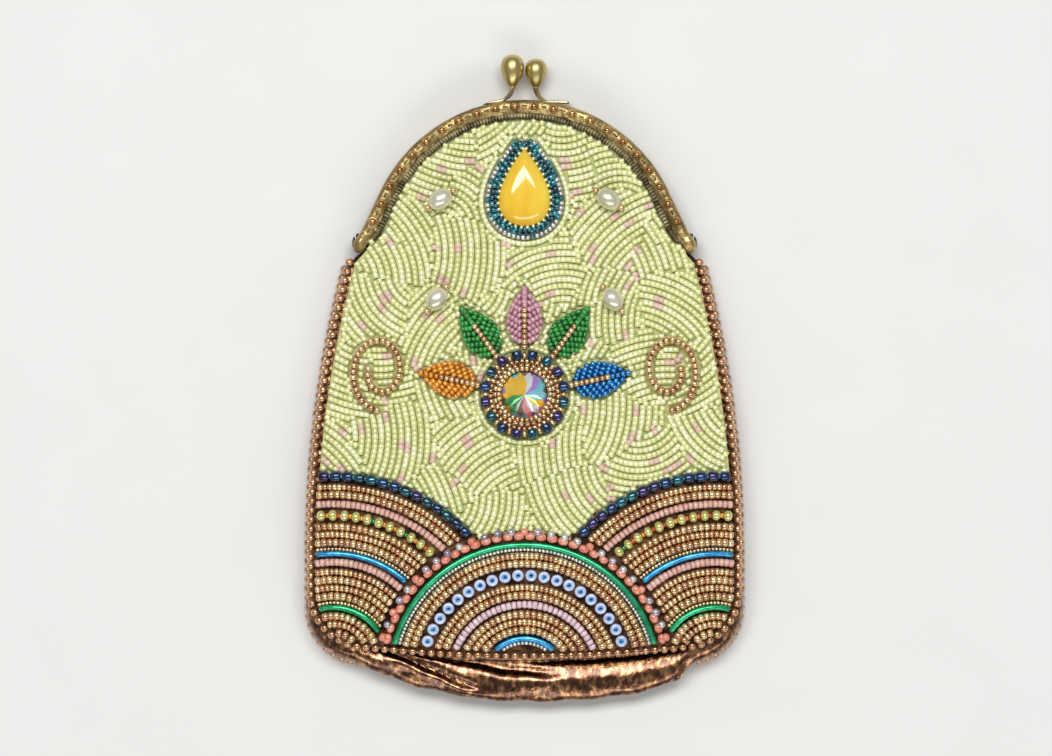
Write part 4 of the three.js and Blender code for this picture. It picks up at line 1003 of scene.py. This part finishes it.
DROP_MARGIN = 2.55
CABOCHON_PROFILE = [  # shares of the outline and the height
    (0.94, 0.0), (1.0, 0.06), (1.0, 0.26), (0.985, 0.4), (0.94, 0.56), (0.86, 0.71), (0.74, 0.84),
    (0.58, 0.93), (0.38, 0.98), (0.16, 1.0), (0.02, 1.0)]
# Rows of a bezel: distance out, pitch, length, width, lift, tones, height where it isn't the width
CABOCHON_BEZEL = [
    (1.4, 1.52, 1.46, 1.9, 0.7, ["teal", "iris_teal", "teal"], 1.6),
    (0.55, 1.15, 1.1, 1.35, 1.5, ["iris_teal", "teal"]),
    (DROP_MARGIN, 1.2, 1.15, 1.5, 0.2, ["silver", "silver", "teal"]),
    (0.0, 1.5, 0.75, 0.85, 1.78, ["lime_pale"])]
CRYSTAL_BEZEL = [
    (0.0, 1.52, 1.46, 2.1, 1.0, BRONZES), (-0.75, 1.2, 1.15, 1.5, 2.2, BRONZES),
    (1.3, 1.3, 1.24, 1.55, 0.45, BRONZES)]
BEZEL_RADIUS = CRYSTAL_RADIUS + SEAT + BEZEL_BEAD
IRIS_RADIUS, IRIS_PITCH = BEZEL_RADIUS + BEZEL_BEAD + SEAT + IRIS_BEAD, 3.9
ZONES = (1, 3, 5, 0, 0, 0, 0, 4, 4, 6, 2, 5, 0, 1)  # tone of each facet of the crystal, as light breaks in it


def drop_ring(margin, steps=180):
    """Outline of the cabochon, a drop, moved out by margin."""
    def at(b):
        return Vector((0.59 * CABOCHON_WIDTH * sin(b) * sin(b / 2) ** 1.1,
                       CABOCHON_Y + 0.55 + CABOCHON_LENGTH / 2 * cos(b)))

    out = []
    for i in range(steps):
        a = min(2 * pi - 0.06, max(0.06, 2 * pi * (i + 0.5) / steps))
        along = (at(a + 0.02) - at(a - 0.02)).normalized()
        out.append(tuple(at(a) + Vector((-along[1], along[0])) * margin))
    return out


def circle(radius):
    return [(radius * s, CRYSTAL_Y + radius * c) for c, s in spokes(120)]


def seated(ring):
    return [(x, y, on_ground(x, y)) for x, y in ring]


def bezel(name, ring_at, rows, body, slot, node):
    beads = Beads()
    for out, *row in rows:
        string(beads, seated(ring_at(out)), "seed", *row, loop=True)
    put(beads.build(name), body, slot, node)


edge = drop_ring(0.0, 72)
base = min(on_ground(x, y) for x, y in edge) + 0.1
skin = loft([[(x * size, mix(CABOCHON_Y - 1, y, size), base + CABOCHON_RISE * share) for x, y in edge]
             for size, share in CABOCHON_PROFILE])
put(solid("drop_cabochon", skin, "yellow", 70), FLAP, "yellow_glass", "cabochon")
bezel("cabochon_bezel_beads", drop_ring, CABOCHON_BEZEL, FLAP, "teal_beads", "cabochon_bezel")

sides = len(ZONES)
base = on_ground(0, CRYSTAL_Y) + 0.1
points = []
for size, share, turn in ((0.97, 0.0, 0.0), (1.0, 0.34, 0.0), (0.8, 0.62, 0.5), (0.5, 0.82, 0.0)):
    r, z = CRYSTAL_RADIUS * size, base + CRYSTAL_RISE * share
    points += [(r * c, CRYSTAL_Y + r * s, z) for c, s in spokes(sides, turn)]
points.append((0, CRYSTAL_Y, base + CRYSTAL_RISE))
faces, index = [tuple(range(sides - 1, -1, -1))], [0]
rim, kite, high = sides, 2 * sides, 3 * sides
for i in range(sides):
    j = (i + 1) % sides
    faces += [(i, j, rim + j, rim + i), (rim + i, rim + j, kite + i), (rim + j, kite + j, high + j, kite + i),
              (kite + i, high + j, len(points) - 1, high + i)]
    index += [4, rng.choice([0, 1, 2, 3, 5, 6]), ZONES[i], ZONES[i]]
put(make("round_crystal", points, outward(points, faces), CRYSTAL_TONES, index, False), BAG, "crystal", "crystal")
bezel("crystal_bezel_beads", lambda out: circle(BEZEL_RADIUS + out), CRYSTAL_BEZEL, BAG, "bronze_beads",
      "crystal_bezel")

beads = Beads()
places, along = walk(seated(circle(IRIS_RADIUS)), IRIS_PITCH, True)
for i, (p, a) in enumerate(zip(places, along)):
    up = normal_at(p[0], p[1])
    beads.add("drum", p + up * 1.3, (a[1], -a[0], 0), up, 2.5, 2.7, 2.7, ["iris", "iris_teal", "iris_violet"][i % 3])
    m = (p + places[(i + 1) % len(places)]) / 2
    beads.add("seed", m + up * 1.0, a, up, 1.15, 1.9, 1.9, "bronze")
put(beads.build("crystal_ring_beads"), BAG, "iris_beads", "crystal_iris_ring")

# Petals: a low pad with slanting rows of beads on both sides of a vein

PETALS = [("green_left", -36, "leaf"), ("green_right", 36, "leaf"), ("orange", -78, "orange"), ("blue", 78, "blue"),
          ("pink", 0, "rose")]
PETAL_START = CRYSTAL_RADIUS + 3 * SEAT + 2 * BEZEL_BEAD + 2 * IRIS_BEAD
PETAL_ROWS, VEIN_POINTS, VEIN_BRONZE = 10, 40, 27


def petal_half(u):
    return PETAL_WIDTH / 2 * sin(pi * clamp(u) ** 0.8)


def petal_point(angle, u, w):
    along, c, s = PETAL_START + PETAL_LENGTH * u, cos(angle), sin(angle)
    return (along * s + w * c, CRYSTAL_Y + along * c - w * s)


def petal_place(angle, u, w, lift):
    """Place on a petal's swelling top."""
    x, y = petal_point(angle, u, w)
    half = max(0.01, petal_half(u))
    rise = 0.62 * PETAL_RISE * (0.5 + half / PETAL_WIDTH) * (1 - 0.75 * clamp(abs(w) / half) ** 2)
    return (x, y, on_ground(x, y) + rise + lift)


for name, degrees, tone in PETALS:
    angle, slot = radians(degrees), name.split("_")[0] + "_beads"
    beads = Beads()
    for hand in (1, -1):
        for i in range(-3, PETAL_ROWS):
            line = []
            for k in range(60):
                w = 0.8 + k * 0.12
                u = 0.02 + (i + 0.5) / PETAL_ROWS + w / PETAL_LENGTH * 0.6
                if 0.0 < u < 0.99 and w < petal_half(u) - 0.1:
                    line.append(petal_place(angle, u, hand * w, 0))
            if len(line) > 4:
                string(beads, line, "cut", 1.08, 1.08, 1.5, 0.1, [tone], 1.4)
    vein = []
    for i, u in enumerate(np.linspace(-0.02, 0.97, VEIN_POINTS)):
        x, y = petal_point(angle, u, 0)
        vein.append((x, y, on_ground(x, y) + mix(1.05, 0.5, ease(i / (VEIN_POINTS - 1) * 1.6 - 0.6))))
    string(beads, vein[:VEIN_BRONZE], "seed", 1.4, 1.36, 1.7, 0.3, BRONZES)
    string(beads, vein[VEIN_BRONZE - 1:], "cut", 1.18, 1.17, 1.6, 0.15, [tone])
    pad = []
    for k in range(25):
        u = mix(0.05, 0.94, k / 24)
        ring = [petal_place(angle, u, mix(-0.9, 0.9, j / 8) * petal_half(u), -0.6) for j in range(9)]
        pad.append(ring + [(x, y, front_face(x, y) + 0.25) for x, y, _ in reversed(ring)])
    put(solid(f"petal_{name}_pad", loft(pad), tone + "_pad", 50), BAG, slot)
    put(beads.build(f"petal_{name}_beads"), BAG, slot, f"petal_{name}")

# Pearls, each with a seed at both ends

PEARLS = [("flap_left", -21, 45, 0.6, FLAP), ("flap_right", 21, 45, -0.6, FLAP), ("left", -22, 20, 0.9, BAG),
          ("right", 22, 20, -0.9, BAG)]
PEARL_SINK, PEARL_FLAT, PEARL_SEED = 0.25, 0.94, 0.7
for number, (name, x, y, angle, body) in enumerate(PEARLS):
    c, s = cos(angle), sin(angle)
    z = on_ground(x, y) + PEARL_WIDTH / 2 - PEARL_SINK
    rings = []
    for k in range(1, 20):
        a = pi * k / 20
        ring = []
        for cb, sb in spokes(28):
            d = Vector((cos(a), sin(a) * cb, sin(a) * sb))
            r = 1 + 0.05 * noise.noise(d * 1.6 + Vector((number * 7.0, 0, 0)))
            px, py, pz = (part * size / 2 * r for part, size in zip(d, (PEARL_LENGTH, PEARL_WIDTH, PEARL_WIDTH)))
            ring.append((x + c * px - s * py, y + s * px + c * py, z + pz * PEARL_FLAT))
        rings.append(ring)
    put(solid(f"oval_pearl_{name}", loft(rings), "pearl"), body, "pearl", f"pearl_{name}")
    beads = Beads()
    for hand in (1, -1):
        d = np.array([c, s, 0]) * hand
        p = np.array([x, y, z - PEARL_SEED]) + d * (PEARL_LENGTH / 2 + PEARL_SEED)
        beads.add("seed", p, d, UP, 1.3, 1.9, 1.9, "bronze")
    put(beads.build(f"pearl_{name}_beads"), body, "bronze_beads")

# Scrolls


def scroll_line(hand):
    line = []
    for i in range(161):
        u = i / 160
        a = pi * (1.5 - 2.6 * u)
        r = SCROLL_RADIUS * (1 - 0.62 * u)
        line.append((hand * SCROLL_X - hand * r * cos(a) * 0.95, SCROLL_Y + r * sin(a) * 1.25))
    return line


SCROLLS = {"left": scroll_line(-1), "right": scroll_line(1)}
for name, line in SCROLLS.items():
    beads = Beads()
    string(beads, seated(line), "seed", 1.55, 1.5, 2.15, 0.95, BRONZES)
    put(beads.build(f"scroll_{name}_beads"), BAG, "bronze_beads", f"scroll_{name}")

# Bead ground: patches of parallel bowed rows that turn this way and that round the motifs

ROW, STEP, LEAST, CELL, MOTIF_GAP = 1.64, 1.27, 1.16, 2, 0.72
PATCHES, PATCH_TRIES, PATCH_APART, PATCH_REACH, PATCH_X, PATCH_LOW = 30, 4000, 13.5, 20, 50, -42
FILL_STEP, FILL_X, FILL_LOW, GROUND_HIGH = 0.35, 52.0, -44.0, 66
PINKS, PETAL_REACH, SCROLL_REACH = 85, 14, 16
BAR_LENGTH, BAR_WIDTH, BAR_LIFT, ODD_TONES = 1.29, 1.6, 0.6, 0.3
LIMES = ["lime", "lime_pale", "lime", "lime_deep"]

drop_outline = drop_ring(DROP_MARGIN, 60)
petal_outlines = []
for _, degrees, _ in PETALS:
    angle = radians(degrees)
    outline = [petal_point(angle, 0.45, 0)]
    for k in range(24):
        u = mix(0.02, 1.0, k / 23)
        outline += [petal_point(angle, u, share * petal_half(u)) for share in (1, 0.5, -1, -0.5, 0)]
    petal_outlines.append(outline)
scroll_points = [line[::4] for line in SCROLLS.values()]
numbers = itertools.count(1)
taken, laid = {}, []


def nearest(x, y, points):
    return min(hypot(x - px, y - py) for px, py in points)


def motif_room(x, y):
    """Distance from a place to the nearest motif that stands in the ground."""
    if abs(x) < 7 and abs(y - CABOCHON_Y) < 9:
        return -1.0
    room = min(hypot(x, y - CRYSTAL_Y) - (IRIS_RADIUS + IRIS_BEAD - 0.25), nearest(x, y, drop_outline) - 0.75)
    for outline in petal_outlines:
        if nearest(x, y, outline[:1]) < PETAL_REACH:
            room = min(room, nearest(x, y, outline[1:]) + 0.15)
    for line in scroll_points:
        if abs(x - line[0][0]) < SCROLL_REACH:
            room = min(room, nearest(x, y, line) - 0.68)
    return room


def allowed(x, y):
    """Whether a bead fits between the edge, the motifs and the beads that are laid."""
    if ground_room(x, y) <= (0.25 if y > HINGE_Y else 0.05) or motif_room(x, y) <= MOTIF_GAP:
        return False
    cx, cy = int(x // CELL), int(y // CELL)
    near = (p for i in (-1, 0, 1) for j in (-1, 0, 1) for p in taken.get((cx + i, cy + j), ()))
    return all((px - x) ** 2 + (py - y) ** 2 >= LEAST * LEAST for px, py in near)


def lay(x, y, dx, dy, row):
    taken.setdefault((int(x // CELL), int(y // CELL)), []).append((x, y))
    laid.append((x, y, dx, dy, row))


def lay_ring(ring):
    """A closed row round a motif."""
    row = next(numbers)
    for p, a in zip(*walk([(x, y, 0) for x, y in ring], STEP, True)):
        if allowed(p[0], p[1]):
            lay(p[0], p[1], a[0], a[1], row)


lay_ring(drop_ring(DROP_MARGIN + 1.55, 160))
lay_ring(circle(IRIS_RADIUS + IRIS_BEAD + 0.6))
for (cx, cy), *outline in petal_outlines:
    ring = []
    for c, s in spokes(120):
        d = 2.0
        while d < PETAL_REACH and nearest(cx + d * c, cy + d * s, outline) < MOTIF_GAP:
            d += 0.15
        ring.append((cx + d * c, cy + d * s))
    lay_ring(ring)

seeds = []
for _ in range(PATCH_TRIES):
    if len(seeds) == PATCHES:
        break
    x, y = rng.uniform(-PATCH_X, PATCH_X), rng.uniform(PATCH_LOW, GROUND_HIGH)
    if ground_room(x, y) > -2 and all(hypot(x - s[0], y - s[1]) > PATCH_APART for s in seeds):
        seeds.append((x, y, rng.uniform(0, 2 * pi), rng.uniform(9, 34)))


def owner(x, y):
    return min(range(len(seeds)), key=lambda i: hypot(x - seeds[i][0], y - seeds[i][1]))


for number, (sx, sy, turn, reach) in enumerate(seeds):
    cx, cy = sx + reach * cos(turn), sy + reach * sin(turn)
    for k in range(int(max(2, reach - PATCH_REACH) / ROW), int((reach + PATCH_REACH) / ROW)):
        radius = (k + 0.5) * ROW
        row = next(numbers)
        for c, s in spokes(int(2 * pi * radius / STEP), rng.random()):
            x, y = cx + radius * c, cy + radius * s
            if hypot(x - sx, y - sy) <= PATCH_REACH and owner(x, y) == number and allowed(x, y):
                lay(x, y, -s, c, row)

y = FILL_LOW
while y < GROUND_HIGH:
    x = -FILL_X
    while x < FILL_X:
        if allowed(x, y):
            near = min(laid, key=lambda b: (b[0] - x) ** 2 + (b[1] - y) ** 2)
            lay(x, y, *near[2:])
        x += FILL_STEP
    y += FILL_STEP

pinks = set()
for _ in range(PINKS):
    x, y, _, _, row = laid[rng.randrange(len(laid))]
    close = sorted(range(len(laid)), key=lambda i: (laid[i][0] - x) ** 2 + (laid[i][1] - y) ** 2)[:7]
    pinks.update([i for i in close if laid[i][4] == row][:rng.choice([1, 2, 2])] + close[1:2])

grounds = {part: Beads() for part in ("flap", "fold", "panel", "lower")}
for i, (x, y, dx, dy, row) in enumerate(laid):
    part = "flap" if y > HINGE_Y else "fold" if y > FOLD_BOTTOM else "panel" if y > CRYSTAL_Y else "lower"
    up = normal_at(x, y)
    tone = LIMES[row % 4]
    if rng.random() < ODD_TONES:
        tone = rng.choice(LIMES[:2] + LIMES[3:])
    tone = "dusty" if i in pinks else tone
    width = BAR_WIDTH * (1 + spread(0.04))
    lean = jitter(0.04, 0.04, 0.03)
    place = np.array([x, y, front_face(x, y)]) + up * (BAR_LIFT + spread(0.03))
    grounds[part].add("bar", place, np.array([dx, dy, 0]) + lean, up, BAR_LENGTH, width, width, tone)
for part, body in (("flap", FLAP), ("panel", BAG), ("lower", BAG)):
    put(grounds[part].build(f"{part}_ground_beads", 50), body, "lime_beads")
fold_beads = grounds["fold"].build("fold_ground_beads", 50)
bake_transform(fold_beads)

# Floor, light and camera

pale = material("floor", "e5e5e3", "e6e6e4", 0.0, (0.7, 0.8), 0.0, 40)
FLOOR, FLOOR_DROP = 3000, 0.0002
corners = [(-FLOOR, -FLOOR, 0), (FLOOR, -FLOOR, 0), (FLOOR, FLOOR, 0), (-FLOOR, FLOOR, 0)]
floor = make("floor", corners, [(0, 1, 2, 3)], [pale])
floor.location.z = -FLOOR_DROP

scene = bpy.context.scene
scene.view_settings.view_transform = "Standard"
scene.world = bpy.data.worlds.new("studio")
scene.world.use_nodes = True
background = scene.world.node_tree.nodes["Background"]
background.inputs["Color"].default_value = (1, 1, 1, 1)
background.inputs["Strength"].default_value = 0.32


def lamp(name, place, width, length, power):
    """Rectangular light that looks at the origin."""
    data = bpy.data.lights.new(name, "AREA")
    data.shape = "RECTANGLE"
    data.size, data.size_y, data.energy = width, length, power
    obj = link(name, data)
    obj.location = place
    obj.rotation_euler = (-Vector(place)).to_track_quat("-Z", "Y").to_euler()


lamp("north_box", (-0.05, 0.45, 1.25), 1.1, 0.42, 13.0)
lamp("south_box", (0.1, -0.85, 0.8), 1.2, 0.3, 3.6)

SENSOR, DISTANCE, VIEW_WIDTH, AIM = 36.0, 1.2, 0.263, (0.000375, 0.00025, 0.012)
camera = link("camera", bpy.data.cameras.new("camera"))
camera.data.sensor_width = SENSOR
camera.data.lens = SENSOR * DISTANCE / VIEW_WIDTH
camera.location = (AIM[0], AIM[1], DISTANCE + AIM[2])
camera.rotation_euler = (0, 0, 0)
camera.data.clip_start, camera.data.clip_end = 0.01, 20
scene.camera = camera
